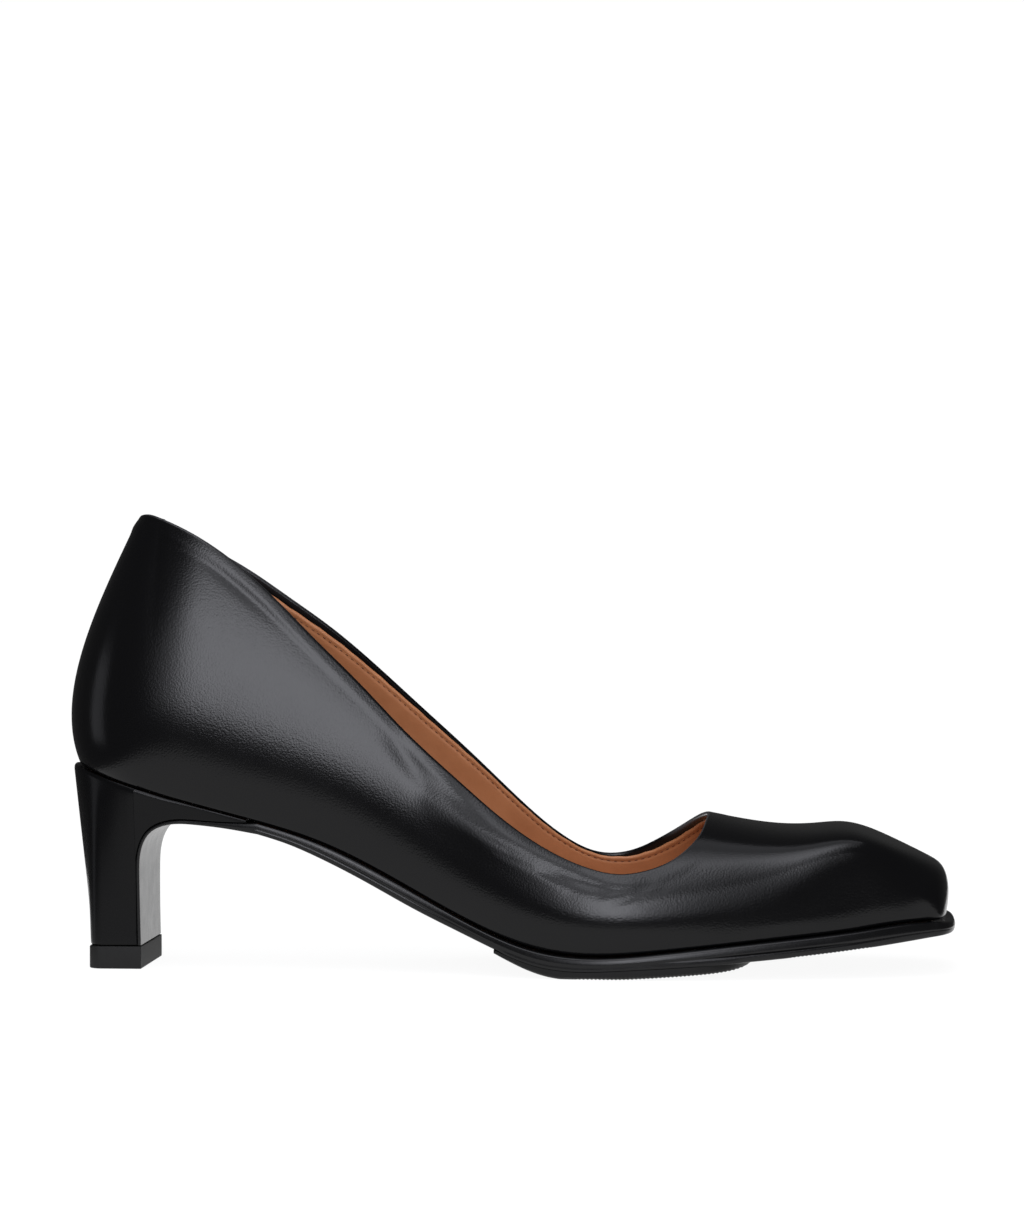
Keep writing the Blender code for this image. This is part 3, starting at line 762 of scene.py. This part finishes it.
# Seam under the lining's edge: the dent it draws and its stitches
SEAM_DROP = 1.9
SEAM_WIDTH = 0.45
SEAM_DEPTH = 0.25
CUT_EDGE_ROUNDING = 0.35
CUT_EDGE_HEIGHT = 0.5
STITCH_PITCH = 2.0
STITCH_HALF_LENGTH = 0.55
STITCH_RADIUS = 0.17
STITCH_SUNK = 0.2
STITCH_LOOK_AHEAD = 0.3


def lining_top(full):
    """Height of the lining's cut edge on each rib, and the strip of leather above it."""
    top_point, _, _ = skin(full)
    strip = strip_at(top_point[..., 0])
    length = run_along(top_point[:, 0])
    turn = 2.0 * math.pi * PUCKERS * (length / length[-1])[:, None]
    fine = np.sin(2.0 * turn + 1.0) * np.cos(5.0 * turn / PUCKERS)
    pucker = PUCKER_DEPTH * np.sin(turn) + FINE_PUCKER_DEPTH * fine
    return full - strip + pucker, strip


def make_upper(paint):
    full = rib_length[:, -1:]
    rows = np.linspace(0.0, 1.0, OUTER_ROWS)[None, :]
    heights = FEATHER_ROLL + (full - FEATHER_ROLL - EDGE_ROLL) * rows
    outer, outward, upward = skin(heights)
    relief = folded_band(outer, full - heights) - wrinkles(outer, rib_side[:, None]) - tuck(outer, heights)
    outer = outer + outward * relief[..., None]
    low, low_out, low_up = outer[:, :1], outward[:, :1], upward[:, :1]
    turn = np.linspace(0.5 * math.pi, 0.0, 6, endpoint=False)[None, :, None]
    feather = low - low_up * FEATHER_ROLL * np.sin(turn) - low_out * FEATHER_ROLL * (1.0 - np.cos(turn))
    inward = np.linspace(LASTING_MARGIN, FEATHER_ROLL, 3, endpoint=False)[None, :, None]
    lasted = low - low_up * FEATHER_ROLL - low_out * inward
    high, high_out, high_up = outer[:, -1:], outward[:, -1:], upward[:, -1:]
    turn = np.linspace(0.0, math.pi, 11)[None, 1:, None]
    fold = high + high_up * EDGE_ROLL * np.sin(turn) - high_out * EDGE_ROLL * (1.0 - np.cos(turn))
    top_x = high[:, :, 0]
    down = np.concatenate((
        np.linspace(MARGIN_START, TURNED_MARGIN, 4),
        np.array([TURNED_MARGIN + MARGIN_STEP]),
    ))[None, :]
    margin, margin_out, _ = skin(full - EDGE_ROLL - down)
    depth = np.array([2.0 * EDGE_ROLL] * 4 + [LEATHER])[None, :, None]
    margin = margin - margin_out * depth
    rest = np.linspace(0.0, 1.0, 14)[None, 1:]
    inside_height = full - EDGE_ROLL - TURNED_MARGIN - MARGIN_STEP - LEATHER
    inside, inside_out, _ = skin(LEATHER + inside_height * (1.0 - rest))
    inside = inside - inside_out * LEATHER
    floor = lasted[:, ::-1] + low_up * LEATHER
    loop = np.concatenate((lasted, feather, outer, fold, margin, inside, floor, lasted[:, :1]), axis=1)
    # Painted highlight: grey sheen across the crest of the folded edge, full at the throat and partial at
    # the collar
    fold_sheen = soft_step(*SHEEN_THROAT_X, top_x) + COLLAR_SHEEN * (1.0 - soft_step(*SHEEN_COLLAR_X, top_x))
    wear_and_sheen = np.zeros(loop.shape[:2])
    first = lasted.shape[1] + feather.shape[1] + outer.shape[1]
    crest = np.sin(np.linspace(0.0, math.pi, fold.shape[1] + 2))[1:-1]
    wear_and_sheen[:, first:first + fold.shape[1]] = fold_sheen * crest
    piece = woven("upper_leather", loop, paint, smooth_angle=60.0, wear_and_sheen=wear_and_sheen)
    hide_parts("upper")


def make_lining(paint):
    full = rib_length[:, -1:]
    top, strip = lining_top(full)
    rows = np.linspace(0.0, 1.0, LINING_ROWS)[None, :] ** LINING_ROW_SPREAD
    heights = LINING_FOOT + (top - LINING_FOOT) * rows
    points, outward, _ = skin(heights)
    below = full - heights
    doubled = 1.0 - soft_step(*DOUBLED_END, below)
    thick = LEATHER + (2.0 * EDGE_ROLL - LEATHER) * doubled
    back = thick + LINING_GAP
    seam = np.exp(-((below - strip - SEAM_DROP) / SEAM_WIDTH) ** 2)
    cut_edge = 1.0 - soft_step(0.0, CUT_EDGE_HEIGHT, top - heights)
    front = back + LINING - SEAM_DEPTH * seam - CUT_EDGE_ROUNDING * cut_edge
    outer = points - outward * back[..., None]
    inner = points - outward * front[..., None]
    loop = np.concatenate((outer, inner[:, ::-1], outer[:, :1]), axis=1)
    woven("lining", loop, paint, smooth_angle=70.0)


def make_stitches(paint):
    """One row of stitches round the opening, through the lining and the turned edge."""
    full = rib_length[:, -1:]
    _, strip = lining_top(full)
    line, outward, _ = skin(full - strip - SEAM_DROP)
    seam = line[:, 0] - outward[:, 0] * (2.0 * EDGE_ROLL + LINING - STITCH_SUNK)
    length = run_along(seam)
    count = int(length[-1] / STITCH_PITCH)
    mesh = bmesh.new()
    for step in range(count):
        middle = (step + 0.5) * length[-1] / count
        centre = np.array([np.interp(middle, length, seam[:, axis]) for axis in range(3)])
        further = middle + STITCH_LOOK_AHEAD
        ahead = unit(np.array([np.interp(further, length, seam[:, axis]) for axis in range(3)]) - centre)
        out = np.array([np.interp(middle, length, outward[:, 0, axis]) for axis in range(3)])
        side = unit(np.cross(out, ahead))
        out = np.cross(ahead, side)
        axes = (ahead * STITCH_HALF_LENGTH, side * STITCH_RADIUS, out * STITCH_RADIUS)
        turn = Matrix([[*row] for row in zip(*axes)]).to_4x4()
        stitch = bmesh.ops.create_uvsphere(mesh, u_segments=8, v_segments=6, radius=1.0)
        for vertex in stitch["verts"]:
            local = turn @ vertex.co
            vertex.co = to_frame(centre + np.array(local))
    finish("topline_stitches", mesh, paint)


# Outline of the last's bottom edge
def outline(side, reach, start_x, fan_steps=40):
    """Bottom edge from a place along the foot to the centre front, set out by a reach."""
    points = []
    if start_x < HEEL_AXIS_X:
        for turn in np.linspace(0.0, 0.5 * math.pi, fan_steps, endpoint=False):
            points.append(fan_controls(side, turn)[0][:2])
        start_x = HEEL_AXIS_X
    points += list(last_surface(side, np.linspace(start_x, RUN_END, 240), np.zeros(240))[:, :2])
    points += list(last_surface(side, np.full(40, RUN_END), np.linspace(0.0, 1.0, 41)[1:])[:, :2])
    points = np.array(points)
    ahead = unit(np.gradient(points, axis=0))
    outward = np.stack([-ahead[:, 1], ahead[:, 0]], axis=1) * SIDES[side]
    moved = points + outward * reach(points[:, 0])[:, None]
    moved[-1] = points[-1] + np.array([reach(points[-1:, 0])[0], 0.0])
    return moved


def thin(points, count):
    """The same line with evenly spaced points."""
    places = spread(points, count) * (len(points) - 1)
    index = np.arange(len(points))
    return np.stack([np.interp(places, index, points[:, axis]) for axis in range(points.shape[1])], axis=1)


# Sock
SOCK_SPREAD = 1.1
SOCK_SPREAD_END = (150.0, 180.0)
ARCH_SPREAD = 0.9
ARCH_X = 105.0
ARCH_SPAN = 30.0
# Side of the sock, bottom to top: how far in from the last's edge and how far up
SOCK_EDGE = table(
    "inset rise",
    (2.2, 1.0),
    (1.8, 1.3),
    (1.7, 2.0),
    (1.85, 2.35),
    (2.6, 2.48),
    (5.0, 2.5),
)


def sock_spread(side, x):
    """How far the sock reaches out under the lining: most in the arch, where the wall leans out."""
    arch = ARCH_SPREAD * np.exp(-((x - ARCH_X) / ARCH_SPAN) ** 2) * (side == "medial")
    return SOCK_SPREAD * (1.0 - soft_step(*SOCK_SPREAD_END, x)) + arch


def make_sock(paint):
    sides = []
    for side in SIDES:
        rows = []
        for inset, rise in zip(SOCK_EDGE["inset"], SOCK_EDGE["rise"]):
            flat = thin(outline(side, lambda x: sock_spread(side, x) - inset, 0.0), 160)
            rows.append(np.column_stack((flat, last_bottom(flat[:, 0]) + rise)))
        sides.append(np.stack(rows, axis=1))
    piece = lofted("sock", *sides, paint, "tan_sock_leather", over=8)
    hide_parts("insole")


# Sole in side view from the foot of the heel flap to the waist
SOLE = table(
    "x z back rise",
    (FLAP_X, LIFT_HEIGHT + JOINT_GAP, FLAP_THICKNESS, 0.0),
    (FLAP_X - 0.2, 16.0, FLAP_THICKNESS, 0.0),
    (FLAP_X - 0.3, 26.0, FLAP_THICKNESS, 0.0),
    (23.0, 33.6, 0.85, 0.3),
    (25.4, 38.0, 0.6, 0.7),
    (30.0, 40.3, 0.2, 0.9),
    (38.5, 40.5, 0.0, 1.1),
    (47.0, 39.6, 0.0, 1.6),
    (56.0, 38.1, 0.0, 3.0),
)
# Forward of that the sole follows the last: lower face and how far its edge stands out
SOLE_FORE = table(
    "x z stand_out",
    (56.0, 38.1, 0.3),
    (64.0, 35.6, 0.4),
    (73.0, 31.8, 0.6),
    (86.0, 25.3, 0.7),
    (99.5, 18.1, 0.8),
    (113.0, 11.8, 1.1),
    (123.0, 7.4, 1.7),
    (133.0, 3.8, 2.2),
    (146.0, 2.2, 2.3),
    (157.0, 2.6, 2.3),
    (179.0, 3.9, 2.3),
    (200.0, 5.6, 2.4),
    (222.0, 8.0, 2.5),
    (242.0, 10.7, 2.6),
    (249.5, 11.7, 2.6),
)
sole_lower = spline(SOLE_FORE["x"], SOLE_FORE["z"])
sole_reach = spline(SOLE_FORE["x"], SOLE_FORE["stand_out"])
SOLE_SPLIT = SOLE_FORE["x"][0]

# Shares of the edge's rounding that the heel flap and the start of the waist have
FLAP_ROUNDING = 0.3
WAIST_ROUNDING = 0.4
WAIST_ROUNDING_RUN = 60.0

# Side of the sole, bottom to top: how far in from its edge, how much of the groove, and how far up
SOLE_EDGE = table(
    "inset groove up",
    (3.2, 0.0, 0.0),
    (1.1, 0.0, 0.015),
    (0.5, 0.0, 0.05),
    (0.26, 0.0, 0.11),
    (0.15, 0.0, 0.2),
    (0.1, 0.0, 0.3),
    (0.07, 0.12, 0.37),
    (0.05, 0.55, 0.405),
    (0.04, 0.9, 0.44),
    (0.03, 0.7, 0.47),
    (0.0, 0.2, 0.50),
    (0.0, 0.0, 0.53),
    (0.03, 0.0, 0.60),
    (0.08, 0.0, 0.68),
    (0.145, 0.0, 0.76),
    (0.23, 0.0, 0.84),
    (0.37, 0.0, 0.90),
    (0.6, 0.0, 0.95),
    (1.0, 0.0, 0.985),
    (1.8, 0.0, 1.0),
)
# Depth of the groove under the sole's bead: clear at the waist and before the toe, nearly closed at the ball
GROOVE = table(
    "x depth",
    (56.0, 0.3),
    (90.0, 0.3),
    (114.0, 0.08),
    (130.0, 0.0),
    (158.0, 0.0),
    (174.0, 0.16),
    (190.0, 0.45),
    (212.0, 0.4),
    (230.0, 0.12),
    (250.0, 0.05),
)
groove_depth = spline(GROOVE["x"], GROOVE["depth"])
# Fine ribs across the sole's lower face behind the toe, drawn a little coarser so that they show
RIB_PITCH = 1.1
RIB_DEPTH = 0.22
RIBS_UP_TO = 0.2
RIBBED_FROM = 202.0
RIBBED_TO = 227.0
RIB_FADE = 4.0
TOE_TURN_X = 236.0
TOE_EASE_X = (224.0, 232.0)
TOE_EASE_PULL = 0.25
TOE_EASE_ROUNDS = 40
SOLE_X = np.concatenate((
    np.linspace(SOLE_SPLIT, RIBBED_FROM, 150, endpoint=False),
    np.arange(RIBBED_FROM, RIBBED_TO, RIB_PITCH / 6.0),
    np.linspace(RIBBED_TO, TOE_TURN_X, 12, endpoint=False),
))


def cross_ribs(x, start, end):
    """Height of fine cross ribs between two places along the foot."""
    band = soft_step(start, start + RIB_FADE, x) * (1.0 - soft_step(end - RIB_FADE, end, x))
    return RIB_DEPTH * band * (0.5 - 0.5 * np.cos(2.0 * math.pi * x / RIB_PITCH))


def ease_turn(line):
    """Round the turn from the side of the toe to its front."""
    eased = line.copy()
    pull = TOE_EASE_PULL * soft_step(*TOE_EASE_X, line[1:-1, :1])
    for _ in range(TOE_EASE_ROUNDS):
        eased[1:-1] += pull * (eased[:-2] - 2.0 * eased[1:-1] + eased[2:])
    return eased


def flap_stations():
    length = run_along(np.stack([SOLE["x"], SOLE["z"]], axis=1))
    places = np.linspace(0.0, length[-1], 60)
    return {title: spline(length, SOLE[title])(places) for title in SOLE}


def seat_lip(x):
    """How far the heel's rim stands out beyond the upper's bottom edge."""
    side = SEAT_LIP * np.clip((SEAT_LIP_END_X - x) / SEAT_LIP_FADE, 0.0, 1.0)
    return side + SEAT_LIP_BACK * np.clip(1.0 - x / SEAT_LIP_BACK_END_X, 0.0, None)


def heel_flare(x, z):
    """0 at the lift and 1 at the seat: how far the heel's side has swept out."""
    rise = (z - LIFT_HEIGHT - JOINT_GAP) / (last_bottom(x) - LIFT_HEIGHT - 2.0 * JOINT_GAP)
    return np.clip(rise, 0.0, 1.0) ** HEEL_SWEEP


def flap_half(side, flap):
    """Half width of the heel flap: along the heel's side, then following the last at the waist."""
    seat = outline(side, seat_lip, 0.0)
    rim = np.interp(flap["x"], seat[:160, 0], np.abs(seat[:160, 1]))
    heel = HEEL_HALF_WIDTH + (rim - HEEL_HALF_WIDTH) * heel_flare(flap["x"], flap["z"])
    waist = section[side](np.maximum(flap["x"], HEEL_AXIS_X)) + sole_reach(SOLE_SPLIT)
    return heel + (waist - heel) * soft_step(HEEL_MIDDLE_X, SOLE_SPLIT, flap["x"])


def sole_line(side, inset, groove, up):
    """One line of the sole's side, from the flap's end to the centre of the toe."""
    flap = flap_stations()
    back = np.column_stack((
        flap["x"] - flap["back"] * up,
        SIDES[side] * (flap_half(side, flap) - inset * FLAP_ROUNDING),
        flap["z"] + flap["rise"] * up,
    ))[:-1]

    def reach(x):
        fade = np.minimum(1.0, WAIST_ROUNDING + (x - SOLE_SPLIT) / WAIST_ROUNDING_RUN)
        behind = soft_step(PAD_BACK_X, PAD_BACK_X + PAD_BACK_FADE, x)
        padded = behind * (1.0 - soft_step(PAD_FRONT_X - PAD_FRONT_FADE, PAD_FRONT_X, x))
        rounding = inset * (1.0 - SQUARED_BY_PAD * padded * (up < SQUARED_UP_TO))
        return sole_reach(x) - (rounding + groove * groove_depth(x)) * fade

    edge = outline(side, reach, SOLE_SPLIT)
    turn = int(np.argmax(edge[:, 0] > TOE_TURN_X))
    along = np.column_stack((SOLE_X, np.interp(SOLE_X, edge[:turn + 1, 0], edge[:turn + 1, 1])))
    flat = ease_turn(np.concatenate((along, thin(edge[turn:], 70))))
    ribs = cross_ribs(flat[:, 0], RIBBED_FROM, RIBBED_TO)
    lower = sole_lower(flat[:, 0]) + ribs * max(0.0, 1.0 - up / RIBS_UP_TO)
    upper = last_bottom(flat[:, 0]) - JOINT_GAP
    fore = np.column_stack((flat, lower + (upper - lower) * up))
    return np.concatenate((back, fore))


def make_sole(paint):
    sides = []
    for side in SIDES:
        lines = [sole_line(side, *row) for row in zip(*SOLE_EDGE.values())]
        sides.append(np.stack(lines, axis=1))
    piece = lofted("sole", *sides, paint, "black_sole_leather", over=3, under=7)
    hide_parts("outsole")


# Tread pad: where its fine stations and ribs start, its front, and how close it sits to the sole
PAD_FINE_FROM = 140.0
PAD_RIBBED_FROM = 144.0
PAD_RIBS_UP_TO = 0.5
PAD_FRONT_RUN = 5.0
PAD_FRONT_SQUARENESS = 10.0
PAD_GAP_SHARE = 0.2

# Tread pad in side view: its lower face, flat on the floor under the ball
PAD = table(
    "x z",
    (PAD_BACK_X, 6.4),
    (129.0, 3.3),
    (135.0, 1.1),
    (141.0, 0.0),
    (148.0, 0.0),
    (156.0, 0.0),
    (164.0, 0.3),
    (172.0, 0.8),
    (184.0, 1.8),
    (PAD_FRONT_X, 2.9),
)
# Side of the pad, bottom to top: how far in from its edge and how far up
PAD_EDGE = table(
    "inset up",
    (4.0, 0.0),
    (1.6, 0.03),
    (0.6, 0.16),
    (0.1, 0.34),
    (0.0, 0.5),
    (0.0, 1.0),
)


def make_tread(paint):
    lower_face = spline(PAD["x"], PAD["z"])
    middle = 0.5 * (PAD_BACK_X + PAD_FRONT_X)
    x = np.concatenate((
        np.linspace(PAD_BACK_X, PAD_FINE_FROM, 24, endpoint=False),
        np.arange(PAD_FINE_FROM, PAD_FRONT_X - PAD_FRONT_RUN, RIB_PITCH / 6.0),
        PAD_FRONT_X - PAD_FRONT_RUN * np.cos(np.linspace(0.0, 0.5 * math.pi, 30)) ** 2,
    ))
    ahead = np.maximum(0.0, (x - middle) / (PAD_FRONT_X - middle))
    rounding = np.sqrt(np.maximum(0.0, 1.0 - ahead ** PAD_FRONT_SQUARENESS))
    ribs = cross_ribs(x, PAD_RIBBED_FROM, PAD_FRONT_X)
    sides = []
    for side, sign in SIDES.items():
        rows = []
        for inset, up in zip(PAD_EDGE["inset"], PAD_EDGE["up"]):
            half = (section[side](x) + sole_reach(x) - PAD_INSET - inset) * rounding
            lower = np.maximum(lower_face(x), 0.0)
            upper = sole_lower(x) - JOINT_GAP * PAD_GAP_SHARE
            height = lower + (upper - lower) * up + ribs * max(0.0, 1.0 - up / PAD_RIBS_UP_TO)
            rows.append(np.column_stack((x, sign * half, height)))
        sides.append(np.stack(rows, axis=1))
    piece = lofted("tread_pad", *sides, paint, "black_rubber_tread", under=9, over=2, smooth_angle=35.0)
    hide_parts("forefoot_tread")


# Heel
def heel_foot():
    """Half of the heel's lower outline, from its centre back to the breast corner."""
    turn = np.linspace(0.0, 0.5 * math.pi, 13)
    corner = np.column_stack((
        HEEL_BACK_X + HEEL_CORNER * (1.0 - np.cos(turn)),
        HEEL_HALF_WIDTH + HEEL_CORNER * (np.sin(turn) - 1.0),
    ))
    return np.concatenate(([(HEEL_BACK_X, 0.0)], corner, [(HEEL_BREAST_X, HEEL_HALF_WIDTH)]))


# Wedge under the waist: its start, least spacing and height, and the height that is fully rounded
STEM_SHORT = 0.3
WEDGE_STEP = 0.04
WEDGE_LEAST_HEIGHT = 0.15
ROUNDED_HEIGHT = 6.0

# Levels of the cover from the lift to the seat, closer together at both ends
HEEL_LEVELS = np.concatenate((
    [0.0, 0.006, 0.015],
    np.linspace(0.03, 0.965, 34),
    [0.974, 0.982, 0.989, 0.995, 1.0],
))


def heel_rounding(below, above):
    """How far the cover is drawn in near the rim and near the lift."""
    rim = np.interp(below, [0.0, 0.25, 0.55, 0.9, 1.4], [0.65, 0.34, 0.17, 0.06, 0.0])
    return rim + np.interp(above, [0.0, 0.25, 0.8], [0.3, 0.1, 0.0])


def make_heel(paint):
    flap = flap_stations()
    columns = 60
    sides = []
    for side, sign in SIDES.items():
        foot = thin(heel_foot(), columns)
        lower = np.column_stack((foot[:, 0], sign * foot[:, 1], np.full(columns, LIFT_HEIGHT + JOINT_GAP)))
        seat = outline(side, seat_lip, 0.0)
        stem = thin(seat[seat[:, 0] < HEEL_BREAST_X - STEM_SHORT], columns)
        half = flap_half(side, flap)
        wedge_low = np.column_stack((
            flap["x"] - flap["back"] * (1.0 + JOINT_GAP / FLAP_THICKNESS),
            sign * half,
            flap["z"] + flap["rise"] + JOINT_GAP * np.minimum(1.0, flap["rise"]),
        ))[2:-3]
        ahead = np.maximum(wedge_low[:, 0], stem[-1, 0] + WEDGE_STEP * np.arange(1, len(wedge_low) + 1))
        wedge = np.column_stack((ahead, np.interp(ahead, seat[40:160, 0], seat[40:160, 1])))
        lower = np.concatenate((lower, wedge_low))
        upper = np.concatenate((stem, wedge))
        top_z = np.maximum(last_bottom(upper[:, 0]) - JOINT_GAP, lower[:, 2] + WEDGE_LEAST_HEIGHT)
        level = HEEL_LEVELS[None, :]
        lean = level ** HEEL_LEAN
        x = lower[:, :1] + (upper[:, :1] - lower[:, :1]) * lean
        z = lower[:, 2:] + (top_z[:, None] - lower[:, 2:]) * level
        flare = heel_flare(x, z)
        start = heel_flare(lower[:, :1], lower[:, 2:])
        swept = (flare - start) / np.maximum(1.0 - start, 0.05)
        y = lower[:, 1:2] + (upper[:, 1:] - lower[:, 1:2]) * np.clip(swept, 0.0, 1.0)
        tall = np.clip((top_z - lower[:, 2]) / ROUNDED_HEIGHT, 0.0, 1.0)[:, None]
        draw = tall * heel_rounding(top_z[:, None] - z, z - lower[:, 2:])
        inward = unit(np.stack((np.minimum(x - HEEL_MIDDLE_X, 0.0), y), axis=-1)) * draw[..., None]
        sides.append(np.stack((x - inward[..., 0], y - inward[..., 1], z), axis=-1))
    piece = lofted("heel_cover", *sides, paint, "black_heel_cover", smooth_angle=40.0)
    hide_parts("heel")


# Side of the lift, bottom to top: how far out from its edge and how high
LIFT_EDGE = table(
    "grow z",
    (-0.45, 0.0),
    (-0.2, 0.06),
    (-0.05, 0.2),
    (0.0, 0.45),
    (0.0, LIFT_HEIGHT - 0.35),
    (-0.06, LIFT_HEIGHT - 0.12),
    (-0.22, LIFT_HEIGHT),
)


def make_lift(paint):
    foot = heel_foot()
    sides = []
    for sign in SIDES.values():
        rows = []
        for grow, z in zip(LIFT_EDGE["grow"], LIFT_EDGE["z"]):
            spare = LIFT_PROUD + grow
            across = sign * (foot[:, 1] + spare * np.minimum(1.0, foot[:, 1] / HEEL_HALF_WIDTH))
            along = np.where(foot[:, 0] > HEEL_BREAST_X - 1.0, FLAP_X + 0.4 * spare, foot[:, 0] - spare)
            row = np.column_stack((along, across, np.full(len(foot), z)))
            rows.append(np.concatenate((row, [(row[-1, 0], 0.0, z)])))
        sides.append(np.stack(rows, axis=1))
    piece = lofted("top_lift_rubber", *sides, paint, "black_rubber_lift", smooth_angle=30.0)
    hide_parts("top_lift")


make_upper(calf_leather())
make_lining(lining_leather("tan_lining_calf", "#b47a52", "#965f3c"))
make_stitches(thread())
make_sock(lining_leather("tan_sock_calf", "#b07248", "#98603a"))
make_sole(sole_leather())
make_tread(rubber("moulded_black_tread", "#0c0c0c", "#121212", 0.55))
make_heel(heel_leather())
make_lift(rubber("cut_black_lift_rubber", "#121212", "#181818", 0.6))


# Floor, light and camera
FLOOR_X = (-0.22, 0.2)
FLOOR_Y = (-0.8, 1.2)
DAYLIGHT = "#f6f7ff"
LIGHT_AIM = Vector((0.0, 0.0, 0.06))


def make_floor():
    mesh = bmesh.new()
    bmesh.ops.create_grid(mesh, x_segments=1, y_segments=1, size=0.5)
    for vertex in mesh.verts:
        vertex.co.x = FLOOR_X[vertex.co.x > 0.0]
        vertex.co.y = FLOOR_Y[vertex.co.y > 0.0]
    sheet = bpy.data.meshes.new("floor")
    mesh.to_mesh(sheet)
    mesh.free()
    floor = bpy.data.objects.new("floor", sheet)
    bpy.context.scene.collection.objects.link(floor)
    paint = bpy.data.materials.new("white_light_table")
    paint.use_nodes = True
    shader = paint.node_tree.nodes["Principled BSDF"]
    shader.inputs["Base Color"].default_value = linear("#5a5a5a")
    shader.inputs["Roughness"].default_value = 0.9
    shader.inputs["Specular IOR Level"].default_value = 0.0
    shader.inputs["Emission Color"].default_value = linear("#ffffff")
    shader.inputs["Emission Strength"].default_value = 0.93
    sheet.materials.append(paint)


def softbox(name, azimuth, elevation, distance, width, height, radiance):
    """A soft box of a size in metres that faces the middle of the shoe; radiance is its brightness."""
    lamp = bpy.data.lights.new(name, "AREA")
    lamp.shape = "RECTANGLE"
    lamp.size = width
    lamp.size_y = height
    lamp.energy = radiance * math.pi * width * height
    lamp.color = linear(DAYLIGHT)[:3]
    place = bpy.data.objects.new(name, lamp)
    bpy.context.scene.collection.objects.link(place)
    a = math.radians(azimuth)
    e = math.radians(elevation)
    out = Vector((math.sin(a) * math.cos(e), -math.cos(a) * math.cos(e), math.sin(e)))
    place.location = LIGHT_AIM + out * distance
    place.rotation_euler = out.to_track_quat("Z", "Y").to_euler()


# The key is several boxes of growing width, in metres, so that it fades to its sides
KEY_AZIMUTH = -1.0
KEY_ELEVATION = 20.2
KEY_DISTANCE = 2.2
KEY_HEIGHT = 0.87
KEY = table(
    "width radiance",
    (0.44, 2.3),
    (0.58, 2.6),
    (0.74, 2.3),
    (1.0, 1.3),
    (1.5, 1.1),
)
# The strips over it, by the elevations in degrees that they span, fade upwards
OVER_AZIMUTH = 1.0
OVER_DISTANCE = 1.6
OVER = table(
    "width low high radiance",
    (0.24, 42.0, 60.0, 3.2),
    (0.4, 32.0, 72.0, 1.6),
    (0.7, 32.0, 88.0, 1.2),
    (1.2, 60.0, 112.0, 0.9),
)
BOX_SPACING = 0.01


def make_light():
    for step, (width, radiance) in enumerate(zip(KEY["width"], KEY["radiance"])):
        distance = KEY_DISTANCE + BOX_SPACING * step
        softbox(f"key_softbox_{step + 1}", KEY_AZIMUTH, KEY_ELEVATION, distance, width, KEY_HEIGHT, radiance)
    for step, (width, low, high, radiance) in enumerate(zip(*OVER.values())):
        distance = OVER_DISTANCE + BOX_SPACING * step
        height = 2.0 * distance * math.tan(math.radians(0.5 * (high - low)))
        elevation = 0.5 * (high + low)
        softbox(f"over_strip_{step + 1}", OVER_AZIMUTH, elevation, distance, width, height, radiance)
    softbox("over_panel", azimuth=-26.0, elevation=70.0, distance=1.4, width=0.8, height=0.6, radiance=1.4)
    softbox("left_card", azimuth=-80.0, elevation=4.0, distance=1.3, width=0.4, height=0.6, radiance=0.85)
    world = bpy.data.worlds.new("studio")
    bpy.context.scene.world = world
    world.use_nodes = True
    tree = world.node_tree
    world.cycles.sampling_method = "NONE"
    tree.nodes.clear()
    path = add(tree, "ShaderNodeLightPath")
    seen = add(tree, "ShaderNodeBackground", None, {"Color": (1.0, 1.0, 1.0, 1.0), "Strength": 1.02})
    fill = add(tree, "ShaderNodeBackground", None, {"Color": (1.0, 1.0, 1.0, 1.0), "Strength": 0.6})
    mirrored = add(tree, "ShaderNodeBackground", None, {"Color": (1.0, 1.0, 1.0, 1.0), "Strength": 0.05})
    soft = add(tree, "ShaderNodeMixShader", None, None,
               {0: path.outputs["Is Glossy Ray"], 1: fill.outputs[0], 2: mirrored.outputs[0]})
    whole = add(tree, "ShaderNodeMixShader", None, None,
                {0: path.outputs["Is Camera Ray"], 1: soft.outputs[0], 2: seen.outputs[0]})
    add(tree, "ShaderNodeOutputWorld", None, None, {"Surface": whole.outputs[0]})


def make_camera():
    distance = 1.1
    azimuth = math.radians(4.2)
    elevation = math.radians(1.0)
    focal_pixels = 3911.6
    picture_height = 1231.0
    target = Vector(to_frame(np.array([125.2, 0.0, 98.5])))
    out = Vector((
        math.sin(azimuth) * math.cos(elevation),
        -math.cos(azimuth) * math.cos(elevation),
        math.sin(elevation),
    ))
    lens = bpy.data.cameras.new("camera")
    lens.sensor_width = 36.0
    lens.lens = focal_pixels / picture_height * lens.sensor_width
    lens.clip_start = 0.05
    camera = bpy.data.objects.new("camera", lens)
    bpy.context.scene.collection.objects.link(camera)
    camera.location = target + out * distance
    camera.rotation_euler = out.to_track_quat("Z", "Y").to_euler()
    bpy.context.scene.camera = camera


make_floor()
make_light()
make_camera()
bpy.context.scene.view_settings.view_transform = "Standard"
bpy.context.view_layer.update()
